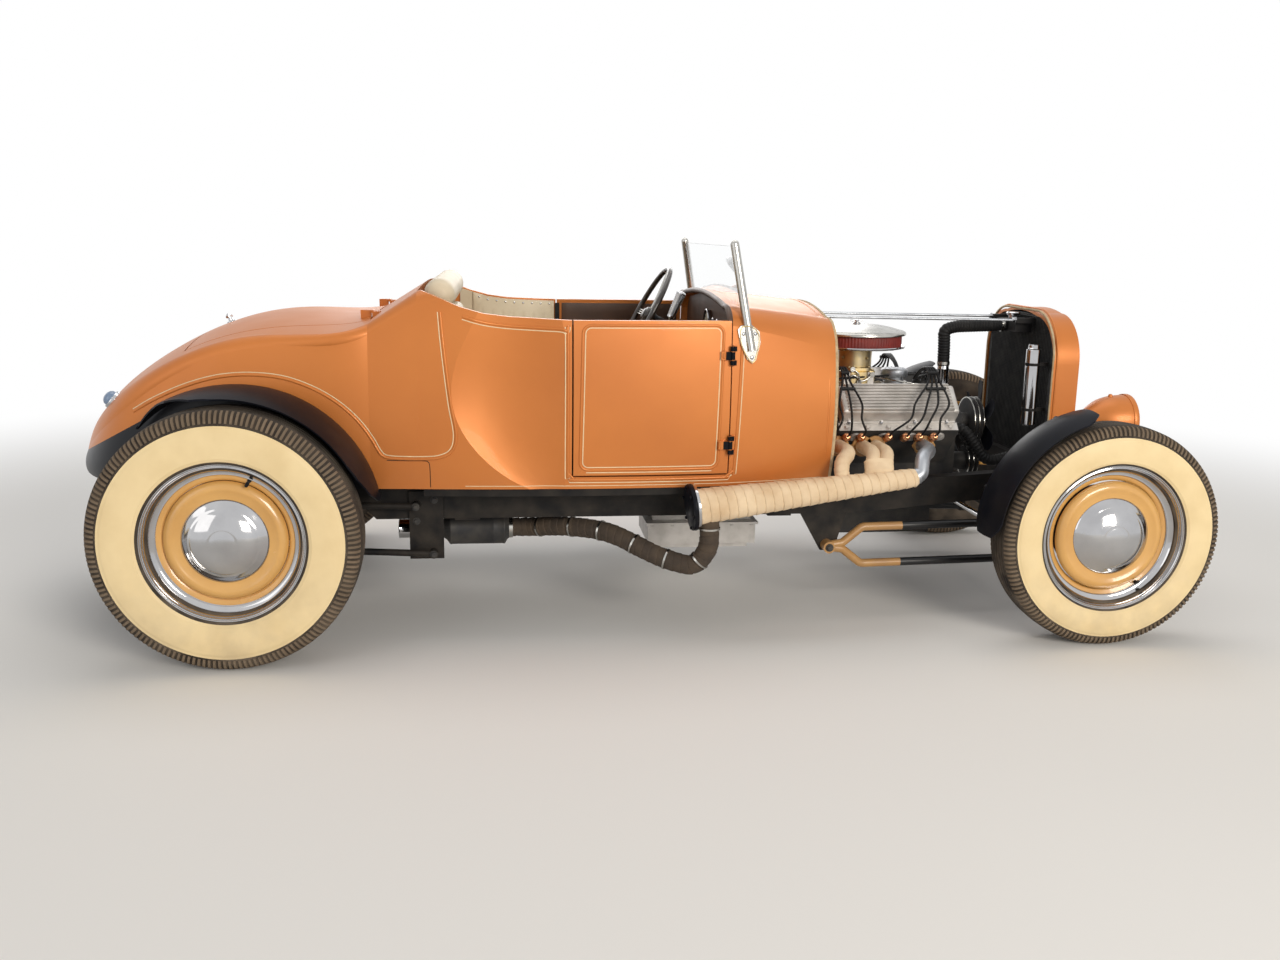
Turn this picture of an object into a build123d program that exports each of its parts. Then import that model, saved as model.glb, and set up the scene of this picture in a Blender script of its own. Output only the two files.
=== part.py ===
from build123d import *
import math
import os

os.makedirs("parts", exist_ok=True)

# Frame: X forward, Y left, Z up, ground at Z 0, X 0 midway between tail and front tyre. Millimetres.
wheelbase = 2720.0
rear_x = -1245.0
front_x = rear_x + wheelbase
rear_tyre_r = 390.0
rear_tyre_w = 190.0
rear_track = 720.0
front_tyre_r = 360.0
front_tyre_w = 165.0
front_track = 712.0
flange_r = 234.0
cap_r = 125.0
king_y = 600.0

# Body shell
body_bottom = 490.0
wall = 22.0
cowl_wall = 14.0
firewall_x = 640.0
dash_x = 275.0
rim_x = -700.0
ridge_x = -850.0
tail_x = -1835.0
door_rear_x = -224.0
door_front_x = 271.0
door_bottom = 533.0
door_top = 1018.0
gap = 5.0
hinge_out = 9.0

# Frame and running gear
rail_top = 465.0
rail_low = 365.0
rail_out = 420.0
rail_out_front = 375.0
rail_w = 50.0
rail_end = 1530.0
cross_top = 500.0
beam_z = 256.0
beam_r = 25.0
arm_x = front_x - 130.0
arm_y = 570.0
crank_z = 460.0
block_x0 = 700.0
block_x1 = 1140.0
rad_x = 1470.0
shell_x0 = 1465.0
shell_x1 = 1558.0
tank_x = 1405.0
bracket_x = 1396.0
shell_half = 290.0
shell_top = 1035.0


def box(x0, x1, y0, y1, z0, z1):
    return Pos((x0 + x1) / 2, (y0 + y1) / 2, (z0 + z1) / 2) * Box(x1 - x0, y1 - y0, z1 - z0)


def rod(p, q, r, r2=None):
    """Round bar from p to q, tapering from r to r2 where r2 is given."""
    start, end = Vector(*p), Vector(*q)
    plane = Plane(origin=start, z_dir=end - start)
    long = (end - start).length
    piece = Cylinder(r, long) if r2 is None else Cone(r, r2, long)
    return plane * Pos(0, 0, long / 2) * piece


def prism(points, along):
    """Flat outline through 3-D points, pushed along a vector."""
    face = make_face(Polyline(*points, close=True))
    return extrude(face, amount=Vector(*along).length, dir=Vector(*along).normalized())


def prism_y(points, y0, y1):
    return prism([(x, y0, z) for x, z in points], (0, y1 - y0, 0))


def prism_z(points, z0, z1):
    return prism([(x, y, z0) for x, y in points], (0, 0, z1 - z0))


def prism_x(points, x0, x1):
    return prism([(x0, y, z) for y, z in points], (x1 - x0, 0, 0))


def other_side(piece):
    return mirror(piece, about=Plane.XZ)


def together(*pieces):
    return Compound([solid for piece in pieces for solid in piece.solids()])


def pair(piece):
    return together(piece, other_side(piece))


def pipe(points, radii, r):
    """Round tube along straight runs joined by arcs of the given radii."""
    tube = None
    for edge in FilletPolyline(*points, radius=radii).edges():
        start, end, along, after = edge @ 0, edge @ 1, edge % 0, edge % 1
        if edge.geom_type == GeomType.LINE:
            run = rod(start, end, r)
        else:
            face = Plane(origin=start, z_dir=along) * Circle(r)
            run = revolve(face, axis=Axis(edge.arc_center, along.cross(after)),
                          revolution_arc=along.get_angle(after))
        tube = run if tube is None else tube + run
    return tube


# Body sections, one row each: x, half width at bottom, bulge half width and height, half width and
# height where the side ends, half width and height where the shoulder ends, crown height
cowl_rows = [
    (640.0, 446.0, 491.0, 660.0, 466.0, 915.0, 330.0, 1012.0, 1050.0),
    (455.0, 502.0, 526.0, 690.0, 512.0, 965.0, 385.0, 1040.0, 1070.0),
    (275.0, 540.0, 556.0, 720.0, 545.0, 1003.0, 440.0, 1060.0, 1088.0),
]
tub_rows = [
    (275.0, 540.0, 556.0, 720.0, 537.0, 1100.0, 440.0, 1160.0, 1180.0),
    (20.0, 558.0, 573.0, 720.0, 552.0, 1100.0, 450.0, 1160.0, 1180.0),
    (-235.0, 562.0, 576.0, 720.0, 558.0, 1100.0, 450.0, 1160.0, 1180.0),
    (-470.0, 556.0, 569.0, 720.0, 552.0, 1085.0, 450.0, 1150.0, 1170.0),
    (-700.0, 540.0, 550.0, 720.0, 528.0, 1062.0, 480.0, 1098.0, 1108.0),
]
ridge_rows = [
    (-700.0, 540.0, 550.0, 720.0, 528.0, 1062.0, 480.0, 1098.0, 1108.0),
    (ridge_x, 529.0, 537.0, 720.0, 517.0, 965.0, 484.0, 1000.0, 1014.0),
]
tail_rows = [
    (ridge_x, 529.0, 537.0, 720.0, 517.0, 965.0, 484.0, 1000.0, 1014.0),
    (-1130.0, 512.0, 520.0, 700.0, 500.0, 930.0, 462.0, 964.0, 1012.0),
    (-1390.0, 486.0, 493.0, 670.0, 474.0, 862.0, 430.0, 908.0, 952.0),
    (-1600.0, 430.0, 436.0, 610.0, 420.0, 728.0, 376.0, 790.0, 833.0),
    (-1745.0, 306.0, 310.0, 565.0, 278.0, 612.0, 190.0, 668.0, 704.0),
    (tail_x, 110.0, 111.0, 500.0, 104.0, 510.0, 84.0, 524.0, 534.0),
]
inner_end = (-1780.0, 236.0, 240.0, 550.0, 212.0, 588.0, 140.0, 630.0, 652.0)


def section(row, inset=0.0, bottom=body_bottom):
    """Closed arch across the body: straight bottom, two bulged sides, two shoulders and a crown."""
    x, low, bulge, bulge_z, side, side_z, top, top_z, crown = row
    low, bulge, side, top = low - inset, bulge - inset, side - inset, top - inset
    side_z, top_z, crown = side_z - inset * 0.6, top_z - inset, crown - inset
    k = math.sqrt(0.5)
    mid = (top + (side - top) * k, side_z + (top_z - side_z) * k)
    edges = [
        Line((x, -low, bottom), (x, low, bottom)),
        ThreePointArc((x, low, bottom), (x, bulge, bulge_z), (x, side, side_z)),
        ThreePointArc((x, side, side_z), (x, mid[0], mid[1]), (x, top, top_z)),
        ThreePointArc((x, top, top_z), (x, 0, crown), (x, -top, top_z)),
        ThreePointArc((x, -top, top_z), (x, -mid[0], mid[1]), (x, -side, side_z)),
        ThreePointArc((x, -side, side_z), (x, -bulge, bulge_z), (x, -low, bottom)),
    ]
    return Face(Wire(edges))


def shell_form(rows, inset=0.0, bottom=body_bottom):
    return Solid(loft([section(row, inset, bottom) for row in rows]).solids()[0].wrapped)


def moved_row(row, x):
    return (x, *row[1:])


# Hollow behind each door: middle x, height and depth below the side at each level
scoop_rows = [(-441.0, 1150.0, 33.4), (-441.0, 848.0, 33.4), (-423.0, 658.0, 26.7),
              (-390.0, 582.0, 16.6), (-352.0, 527.0, 8.1), (-302.0, 484.0, 1.5)]
scoop_r = 480.0


def scoop(extra=0.0):
    """Upright lofted form that hollows the right side, larger by extra all round."""
    rings = [Plane(origin=(x, -(side_y(x, min(z, 1000.0)) - depth + scoop_r), z)) * Circle(scoop_r + extra)
             for x, z, depth in scoop_rows]
    return Solid(loft(rings).solids()[0].wrapped)


def body_parts():
    cowl_out = shell_form(cowl_rows)
    cowl_in = shell_form([moved_row(cowl_rows[0], firewall_x - 12), cowl_rows[1],
                          moved_row(cowl_rows[2], dash_x - 1)], cowl_wall, body_bottom - 1)
    tub_out = shell_form(tub_rows)
    tub_in = shell_form([moved_row(tub_rows[0], dash_x + 1), *tub_rows[1:-1],
                         moved_row(tub_rows[-1], rim_x - 1)], wall, body_bottom - 1)
    tub_out = tub_out - scoop() - other_side(scoop())
    tub_in = tub_in - scoop(wall) - other_side(scoop(wall))
    ridge_out = shell_form(ridge_rows)
    ridge_in = shell_form([moved_row(ridge_rows[0], rim_x - 15), moved_row(ridge_rows[1], ridge_x - 1)],
                          wall, body_bottom - 1)
    tail_out = shell_form(tail_rows)
    tail_in = shell_form([moved_row(tail_rows[0], ridge_x + 1), *tail_rows[1:-1], inner_end],
                         wall, body_bottom - 1)
    return cowl_out, cowl_in, tub_out, tub_in, ridge_out, ridge_in, tail_out, tail_in


def side_y(x, z):
    """Half width of the tub's outer side at a station, from its section's bulged side arc."""
    for a, b in zip(tub_rows, tub_rows[1:]):
        if b[0] <= x <= a[0]:
            t = (a[0] - x) / (a[0] - b[0])
            low, bulge, bz, side, sz = [a[i] + t * (b[i] - a[i]) for i in (1, 2, 3, 4, 5)]
            if z < bz:
                return bulge - (bulge - low) * ((bz - z) / (bz - body_bottom)) ** 2
            return bulge - (bulge - side) * ((z - bz) / (sz - bz)) ** 2
    return tub_rows[0][4]


cowl_out, cowl_in, tub_out, tub_in, ridge_out, ridge_in, tail_out, tail_in = body_parts()

tunnel_in = rod((640, 0, crank_z), (60, 0, crank_z), 177, 130)
tunnel_out = rod((628, 0, crank_z), (60, 0, crank_z), 182, 136)
shaft_tunnel_in = rod((80, 0, crank_z + 1), (-600, 0, 425), 132.5, 46)
shaft_tunnel_out = rod((80, 0, crank_z + 1), (-600, 0, 425), 138.5, 52)
above_floor = box(-1000, 700, -400, 400, rail_top, 900)

floor_outline = [(628, 436), (455, 494), (275, 532), (20, 550), (-235, 554), (-470, 548), (-690, 532)]


def floor_pan():
    right = [(x, -y) for x, y in floor_outline]
    plate = prism_z(floor_outline + right[::-1], rail_top, body_bottom)
    tunnel = (tunnel_out + shaft_tunnel_out) & above_floor
    return plate + tunnel - tunnel_in - shaft_tunnel_in


def cowl():
    column_hole = rod(*column_line(560, 700), 26)
    return cowl_out - cowl_in - rod((620, 0, crank_z), (650, 0, crank_z), 183) - column_hole


cockpit_edge = [(-701, 1107), (-640, 1084), (-566, 1054), (-494, 1035), (-420, 1026), (-310, 1021),
                (door_rear_x - gap, door_top), (280, door_top)]


def tub():
    above = prism_y(cockpit_edge + [(280, 1300), (-701, 1300)], -700, 700)
    doorway = box(door_rear_x - gap, 280, -700, 700, door_bottom - gap, 1300)
    cockpit = box(rim_x - 2, 281, -484, 484, 480, 1300)
    return tub_out - tub_in - above - doorway - cockpit


def door(side):
    slab = box(door_rear_x, door_front_x, -700, 0, door_bottom, door_top)
    panel = (tub_out - tub_in) & slab
    pin_x = door_front_x + gap / 2
    pin_y = hinge_pin_y
    for z in hinge_heights:
        barrel = Pos(pin_x, pin_y, z) * Cylinder(7, 26)
        leaf = box(door_front_x - 34, pin_x, pin_y - 2, pin_y + 4, z - 13, z + 13)
        web = box(door_front_x - 34, door_front_x - 12, pin_y, -side_y(250, z) + 6, z - 13, z + 13)
        panel = panel + barrel + leaf + web
    return panel if side < 0 else other_side(panel)


hinge_heights = (627.0, 911.0)
hinge_pin_y = -(side_y(door_front_x, 720) + hinge_out)


def hinge_posts():
    """Fixed halves of the door hinges, on the cowl's rear edge."""
    pieces = []
    pin_x = door_front_x + gap / 2
    for z in hinge_heights:
        for step in (-22.0, 22.0):
            barrel = Pos(pin_x, hinge_pin_y, z + step) * Cylinder(7, 16)
            foot = box(pin_x, pin_x + 14, hinge_pin_y - 2, hinge_pin_y + 60, z + step - 8, z + step + 8)
            keep = box(dash_x + 2, 400, -700, 0, z + step - 8, z + step + 8)
            pieces.append(barrel + (foot & keep) + box(pin_x, dash_x + 8, hinge_pin_y - 2,
                                                       hinge_pin_y + 4, z + step - 8, z + step + 8)
                          - cowl_out)
    return pieces


lid_front, lid_rear, lid_half = ridge_x - gap, -1420.0, 380.0
lid_pin_z = 1024.0


def lid_barrels(y0, y1):
    return Pos(lid_front + gap / 2, (y0 + y1) / 2, lid_pin_z) * Rot(90, 0, 0) * Cylinder(5, y1 - y0)


def ridge():
    """Panel that falls from the cockpit's rear rim to the deck, with the lid's fixed hinge halves."""
    panel = ridge_out - ridge_in
    for y in (-300.0, 300.0):
        for step in (-15.0, 15.0):
            foot = box(lid_front + gap / 2, lid_front + 26, y + step - 6, y + step + 6, 996, lid_pin_z + 1)
            panel = panel + foot + lid_barrels(y + step - 6, y + step + 6)
    return panel


def tail():
    hatch = box(lid_rear - gap, ridge_x + 1, -lid_half - gap, lid_half + gap, 760, 1200)
    return tail_out - tail_in - hatch


def deck_lid():
    panel = (tail_out - tail_in) & box(lid_rear, lid_front, -lid_half, lid_half, 760, 1200)
    for y in (-300.0, 300.0):
        arm = box(lid_front - 36, lid_front + gap / 2, y - 8, y + 8, lid_pin_z - 5, lid_pin_z + 4)
        web = box(lid_front - 36, lid_front - 3, y - 8, y + 8, 985, lid_pin_z + 4)
        panel = panel + arm + web + lid_barrels(y - 8, y + 8)
    return panel


def trunk_floor():
    return box(-1560, -950, -400, 400, 600, 612) + box(-965, -950, -400, 400, 612, 640)


def rails():
    side = [(-1560, 600), (-940, 600), (-790, rail_top), (640, rail_top), (1000, 480), (rail_end, 508),
            (rail_end, 430), (1192, 400), (755, rail_low), (-850, rail_low), (-1000, 520), (-1560, 520)]
    plan = [(-1560, -rail_out), (640, -rail_out), (rail_end, -rail_out_front),
            (rail_end, -rail_out_front + rail_w), (640, -rail_out + rail_w), (-1560, -rail_out + rail_w)]
    return prism_y(side, -500, -300) & prism_z(plan, 200, 700)


def jack_pads():
    return box(440, 520, -412, -378, rail_low - 8, rail_low + 2) + box(-600, -520, -412, -378, rail_low - 8,
                                                                       rail_low + 2)


def crossmembers():
    inner = rail_out - rail_w
    front = prism_y([(1440, 452), (1510, 452), (1510, cross_top), (1440, cross_top)], -330, 330)
    front = front - pair(rails())
    centre = box(-110, -30, -inner, inner, rail_low, 400) - transmission()
    rear = box(-1430, -1370, -inner, inner, 520, 600)
    end = box(-1560, -1520, -inner, inner, 520, 600)
    return together(front, centre, rear, end)


def engine_mounts():
    leg = box(900, 970, -400, -150, 400, 440) - rails()
    return pair(leg)


def seat_cushion():
    base = box(-560, -70, -480, 480, body_bottom, 640)
    base = fillet(base.edges().filter_by(Axis.Y) + base.edges().filter_by(Axis.Z), 35)
    return base - tunnel_out - shaft_tunnel_out


def seat_back():
    rest = prism_y([(-698, 492), (-562, 492), (-562, 660), (-575, 1060), (-698, 1060)], -470, 470)
    roll = rod((-635, -430, 1085), (-635, 430, 1085), 56)
    for side in (-1, 1):
        roll = roll + rod((-635, side * 430, 1085), (-635, side * 452, 1085), 56, 34)
    return rest + roll


def side_trim():
    thin = shell_form([moved_row(tub_rows[0], dash_x + 1), *tub_rows[1:-1],
                       moved_row(tub_rows[-1], rim_x - 1)], wall + 14, body_bottom - 2)
    thin = thin - scoop(wall + 14) - other_side(scoop(wall + 14))
    zone = prism_y([(-555, 500), (door_rear_x - 8, 500), (door_rear_x - 8, 1006), (-420, 1014),
                    (-494, 1023), (-555, 1040)], -600, -300)
    return pair((tub_in - thin) & zone)


def dashboard():
    slab = cowl_in & box(300, 312, -600, 600, 880, 1200)
    for y, r in ((0.0, 52.0), (-130.0, 30.0), (-210.0, 30.0)):
        slab = slab + Pos(294, y, 965) * Rot(0, 90, 0) * Cylinder(r, 12)
    return slab - rod(*column_line(-100, 420), 34)


wheel_centre = (88.0, 230.0, 985.0)
column_dir = (0.877, 0.0, -0.4805)


def column_line(a, b):
    """Two points on the steering column's axis, a and b millimetres ahead of the wheel's centre."""
    return [tuple(c + d * s for c, d in zip(wheel_centre, column_dir)) for s in (a, b)]


def steering_column():
    tube = rod(*column_line(40, 660), 19)
    gearbox = box(firewall_x, 692, 190, 270, 635, 722)
    output = rod((668, 270, 660), (668, 330, 660), 16) + rod((668, 322, 660), (668, 330, 560), 11)
    return tube + gearbox + output


def steering_wheel():
    ring_plane = Plane(origin=wheel_centre, z_dir=(-column_dir[0], 0, -column_dir[2]))
    ring = Torus(190, 11)
    for angle in (0, 90, 180, 270):
        ring = ring + Rot(0, 0, angle) * Pos(96, 0, -8) * Box(192, 22, 5)
    ring = ring + Pos(0, 0, -15) * Cylinder(30, 46)
    return ring_plane * ring


def levers():
    gear = rod((185, -40, 590), (150, -40, 990), 8) + rod((147, -40, 985), (190, -40, 1080), 15, 19)
    brake = rod((60, 60, 560), (20, 60, 790), 9)
    cover = tunnel_out + shaft_tunnel_out
    return together(gear - cover, brake - cover)


def windshield_posts():
    post = rod((336, -546, 924), (280, -508, 1252), 14) + Pos(280, -508, 1252) * Sphere(14)
    skin = shell_form(cowl_rows, -6.0)
    pad = prism_y([(290, 990), (300, 1004), (338, 1004), (362, 985), (366, 950), (352, 895), (340, 885),
                   (322, 900), (300, 950)], -700, -300)
    plate = (skin & pad & box(dash_x + 3, 600, -700, 0, 800, 1100))
    return pair(plate + post - cowl_out)


def windshield_glass():
    pane = prism_y([(322, 1010), (281, 1246), (287, 1246), (328, 1010)], -493.5, 493.5)
    seat = prism_y([(322, 1010), (328, 1010), (340, 930), (334, 930)], -493.5, 493.5)
    return (pane + seat) - cowl_out - windshield_posts()


def arch_outline(half, top, low, r, x):
    """Upright outline of the radiator: straight sides, round shoulders, slightly crowned top."""
    k = math.sqrt(0.5)
    edges = [
        Line((x, -half, low), (x, half, low)),
        Line((x, half, low), (x, half, top - r - 14)),
        ThreePointArc((x, half, top - r - 14), (x, half - r + r * k, top - r - 14 + r * k),
                      (x, half - r, top - 14)),
        ThreePointArc((x, half - r, top - 14), (x, 0, top), (x, -half + r, top - 14)),
        ThreePointArc((x, -half + r, top - 14), (x, -half + r - r * k, top - r - 14 + r * k),
                      (x, -half, top - r - 14)),
        Line((x, -half, top - r - 14), (x, -half, low)),
    ]
    return Face(Wire(edges))


def arch_block(half, top, low, r, x0, x1):
    return extrude(arch_outline(half, top, low, r, x0), amount=x1 - x0, dir=(1, 0, 0))


def radiator_shell():
    outer = arch_block(shell_half, shell_top, cross_top, 165, shell_x0, shell_x1)
    inner = arch_block(shell_half - 10, shell_top - 10, cross_top - 5, 156, shell_x0 - 1, shell_x1 - 10)
    window = arch_block(shell_half - 42, shell_top - 70, cross_top + 60, 140, shell_x1 - 20, shell_x1 + 5)
    return outer - inner - window


def radiator():
    core = arch_block(shell_half - 16, shell_top - 16, cross_top, 150, rad_x, rad_x + 60)
    tank = box(tank_x, rad_x + 5, -90, 90, 950, 992)
    neck = Pos(tank_x + 28, 0, 1000) * Cylinder(17, 30)
    can_x, can_y = 1413, -235
    can = Pos(can_x, can_y, 770) * Cylinder(24, 270) + Pos(can_x, can_y, 912) * Cylinder(18, 14)
    for z in (690, 850):
        can = can + box(can_x, rad_x + 5, can_y - 8, can_y + 8, z - 6, z + 6)
    for y in (-105, 105):
        can = can + box(bracket_x, rad_x + 5, y - 11, y + 11, 984, 1002)
    return core + tank + neck + can


def grille():
    inner = arch_block(shell_half - 12, shell_top - 12, cross_top + 1, 154, shell_x1 - 22, shell_x1 - 12)
    hole = arch_block(shell_half - 40, shell_top - 66, cross_top + 56, 138, shell_x1 - 30, shell_x1)
    frame = inner - hole
    bars = None
    for i in range(-11, 12):
        bar = box(shell_x1 - 22, shell_x1 - 14, i * 20.0 - 3, i * 20.0 + 3, cross_top + 20, shell_top - 40)
        bars = bar if bars is None else bars + bar
    inside = arch_block(shell_half - 30, shell_top - 50, cross_top + 30, 146, shell_x1 - 30, shell_x1)
    return frame + (bars & inside)


lamp_y, lamp_z = 330.0, 664.0
bowl_front = 1715.0


def headlight_buckets():
    outline = [(1548, 0), (1553, 20), (1574, 35), (1592, 54), (1625, 74), (1668, 86), (bowl_front, 90),
               (bowl_front, 0)]
    face = make_face(Polyline(*[(x, -lamp_y, lamp_z + r) for x, r in outline], close=True))
    bucket = revolve(face, axis=Axis((0, -lamp_y, lamp_z), (1, 0, 0)))
    top = Pos(1662, -lamp_y, lamp_z + 86) * Cylinder(8, 16)
    return pair(bucket + top)


def headlight_rims():
    outline = [(0, 0), (0, 93), (13, 93), (13, 86), (22, 60), (28, 30), (30, 0)]
    face = make_face(Polyline(*[(bowl_front + x, -lamp_y, lamp_z + r) for x, r in outline], close=True))
    return pair(revolve(face, axis=Axis((0, -lamp_y, lamp_z), (1, 0, 0))))


def headlight_stands():
    stand = pipe([(1500, -350, 495), (1640, -lamp_y, 503), (1640, -lamp_y, 640)], 40, 12)
    stand = stand - rails() - headlight_buckets() - crossmembers()
    return pair(stand)


def tail_lamps():
    lamp = Pos(-1684, -290, 736) * Sphere(32) - tail_out
    return pair(lamp)


def support_rods():
    bar = rod((600, -105, 1003), (1500, -105, 993), 5) & box(firewall_x, bracket_x, -200, 0, 900, 1100)
    return pair(bar)


def tyre(radius, width):
    """Tyre section: upright sidewalls, cut shoulders and a flat tread, seated round the rim."""
    half, tread = 0.5 * width, 0.42 * width
    right = [(flange_r, half), (radius - 14, half), (radius, tread)]
    left = [(r, -y) for r, y in reversed(right)]
    return revolve(make_face(Polyline(*[(r, y, 0) for r, y in right + left], close=True)), axis=Axis.Y)


def wheel(width):
    """Steel wheel with domed cap and brake drum, outboard towards +Y."""
    b = 0.36 * width
    outline = [(0, 88), (45, 84), (88, 70), (cap_r, 46), (150, 46), (176, 40), (190, 22), (204, b - 6),
               (208, b + 6), (flange_r, b + 6), (flange_r, -b - 6), (204, -b - 6), (188, 6), (174, 28),
               (145, 30), (145, -45), (0, -45)]
    hub = revolve(make_face(Polyline(*[(r, y, 0) for r, y in outline], close=True)), axis=Axis.Y)
    return hub - Pos(0, -20, 0) * Rot(90, 0, 0) * Cylinder(18.1, 60)


def placed(piece, x, y, z):
    """Puts a wheel or tyre at its hub; the outboard side follows the sign of y."""
    piece = piece if y > 0 else other_side(piece)
    return Pos(x, y, z) * piece


def fender_band(x, z, radius, y_in, y_out, start, stop):
    """Crowned mudguard band on the right side, turned about the wheel's axis from start to stop degrees."""
    mid = (y_in + y_out) / 2
    edges = [
        ThreePointArc((radius - 6, -y_in, 0), (radius + 7, -mid, 0), (radius - 12, -y_out, 0)),
        Line((radius - 12, -y_out, 0), (radius - 17, -y_out + 3, 0)),
        ThreePointArc((radius - 17, -y_out + 3, 0), (radius + 2, -mid, 0), (radius - 11, -y_in, 0)),
        Line((radius - 11, -y_in, 0), (radius - 6, -y_in, 0)),
    ]
    axis = Axis((0, 0, 0), (0, -1, 0))
    face = make_face(Curve() + edges).rotate(axis, start)
    return Pos(x, 0, z) * revolve(face, axis=axis, revolution_arc=stop - start)


front_fender_in = king_y + 18


def front_fender():
    band = fender_band(front_x, front_tyre_r, front_tyre_r + 38, front_fender_in, 794, 101, 180)
    low_out = prism_x([(-800, 430), (-782, 388), (-745, 352), (-745, 300), (-900, 300), (-900, 430)], 1000, 1200)
    low_in = prism_x([(-612, 430), (-630, 388), (-667, 352), (-667, 300), (-560, 300), (-560, 430)], 1000, 1200)
    top_out = prism_z([(1330, -800), (1372, -782), (1408, -745), (1450, -745), (1450, -900), (1330, -900)],
                      600, 900)
    top_in = prism_z([(1330, -612), (1372, -630), (1408, -667), (1450, -667), (1450, -560), (1330, -560)],
                     600, 900)
    return band - low_out - low_in - top_out - top_in


def rear_fenders():
    band = fender_band(rear_x, rear_tyre_r, rear_tyre_r + 36, 480, 752, 10, 137)
    taper = prism_z([(-1230, -760), (-1330, -735), (-1420, -655), (-1480, -560), (-1545, -492), (-1700, -470),
                     (-1800, -900), (-1230, -900)], 300, 1000)
    low = prism_x([(-760, 640), (-736, 560), (-690, 505), (-625, 474), (-560, 464), (-560, 300), (-900, 300),
                   (-900, 640)], -920, -760)
    return pair(band - taper - low - tail_out - ridge_out - tub_out)


def knuckle():
    """Right steering knuckle with its kingpin ears, stub axle, backing plate, arm and mudguard stays."""
    z = front_tyre_r
    ears = box(front_x - 24, front_x + 24, -652, -king_y, z - 66, z - 36)
    ears = ears + box(front_x - 24, front_x + 24, -652, -king_y, z + 36, z + 66)
    for low in (z - 66, z + 36):
        ears = ears + Pos(front_x, -king_y, low + 15) * Cylinder(24, 30)
    body = box(front_x - 30, front_x + 30, -652, -king_y - 30, z - 66, z + 66)
    spindle = rod((front_x, -650, z), (front_x, -700, z), 18)
    plate = rod((front_x, -652, z), (front_x, -661, z), 148)
    arm = prism([(front_x - 20, -634, beam_z + 44), (front_x - 20, -606, beam_z + 44),
                 (arm_x - 14, -arm_y + 14, beam_z + 44), (arm_x - 14, -arm_y - 14, beam_z + 44)], (0, 0, 14))
    post = Pos(arm_x, -arm_y, beam_z + 33) * Cylinder(9, 26)
    stays = None
    for angle in (112.0, 160.0):
        a = math.radians(angle)
        reach = front_tyre_r + 29
        stay = rod((front_x, -king_y - 12, z), (front_x + reach * math.cos(a), -king_y - 12,
                                              z + reach * math.sin(a)), 6)
        foot = rod((front_x + (reach - 6) * math.cos(a), -king_y - 6, z + (reach - 6) * math.sin(a)),
                   (front_x + (reach - 6) * math.cos(a), -front_fender_in, z + (reach - 6) * math.sin(a)), 9)
        stay = stay + foot
        stays = stay if stays is None else stays + stay
    stays = stays - rod((front_x, -king_y, z - 36), (front_x, -king_y, z + 36), 29)
    root = box(front_x - 48, front_x - 28, -645, -king_y - 6, z - 4, z + 66)
    return ears + body + spindle + plate + arm + post + stays + root


def tie_rod():
    bar = rod((arm_x, -arm_y, beam_z), (arm_x, arm_y, beam_z), 11)
    for y in (-arm_y, arm_y):
        bar = bar + Pos(arm_x, y, beam_z) * Cylinder(17, 36)
    return bar


def front_axle():
    path = [(front_x, -578, 350), (front_x, -505, 300), (front_x, -440, beam_z), (front_x, 440, beam_z),
            (front_x, 505, 300), (front_x, 578, 350)]
    beam = pipe(path, 60, beam_r)
    for y in (-king_y, king_y):
        beam = beam - Pos(front_x, y, front_tyre_r - 65.4) * Cylinder(40, 60)
        beam = beam + Pos(front_x, y, front_tyre_r) * Cylinder(25, 70.8)
    for y in (-385, 385):
        beam = beam + box(front_x - 39, front_x - 17, y - 14, y + 14, beam_z - 82, beam_z + 82)
    return beam


def front_spring():
    leaves = None
    for i, half in enumerate((410.0, 340.0, 260.0, 180.0, 100.0)):
        rise = 74.0 * (half / 410.0) ** 2
        low = 386.0 + 11.0 * i
        edges = [ThreePointArc((front_x - 22, -half, low - rise), (front_x - 22, 0, low),
                               (front_x - 22, half, low - rise)),
                 Line((front_x - 22, half, low - rise), (front_x - 22, half, low - rise + 11)),
                 ThreePointArc((front_x - 22, half, low - rise + 11), (front_x - 22, 0, low + 11),
                               (front_x - 22, -half, low - rise + 11)),
                 Line((front_x - 22, -half, low - rise + 11), (front_x - 22, -half, low - rise))]
        leaf = extrude(make_face(Curve() + edges), amount=44, dir=(1, 0, 0))
        leaves = leaf if leaves is None else leaves + leaf
    clamp = box(front_x - 30, front_x + 30, -40, 40, 384, 452)
    for y in (-400, 400):
        leaves = leaves + box(front_x - 12, front_x + 12, y - 10, y + 10, beam_z + 10, 330)
    return leaves + clamp - front_axle()


pivot = (645.0, 440.0, beam_z)


def wishbones():
    px, py, pz = pivot
    yoke = rod((px, -py - 22, pz), (px, -py + 22, pz), 20)
    front_end = front_x - 39
    for side in (-1, 1):
        bar = pipe([(px + 4, -py, pz + side * 4), (px + 50, -py + 3, pz + side * 10),
                    (px + 118, -py + 8, pz + side * 64), (front_end + 3, -385, pz + side * 64)], 30, 14)
        yoke = yoke + bar
    return pair(yoke & box(px - 40, front_end, -500, -350, pz - 100, pz + 100))


def wishbone_brackets():
    px, py, pz = pivot
    outline = [(px - 95, 368), (px + 65, 368), (px + 26, 236), (px - 20, 236)]
    plate = prism_y(outline, -py + 22, -py + 34)
    return pair(plate - rails())


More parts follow.
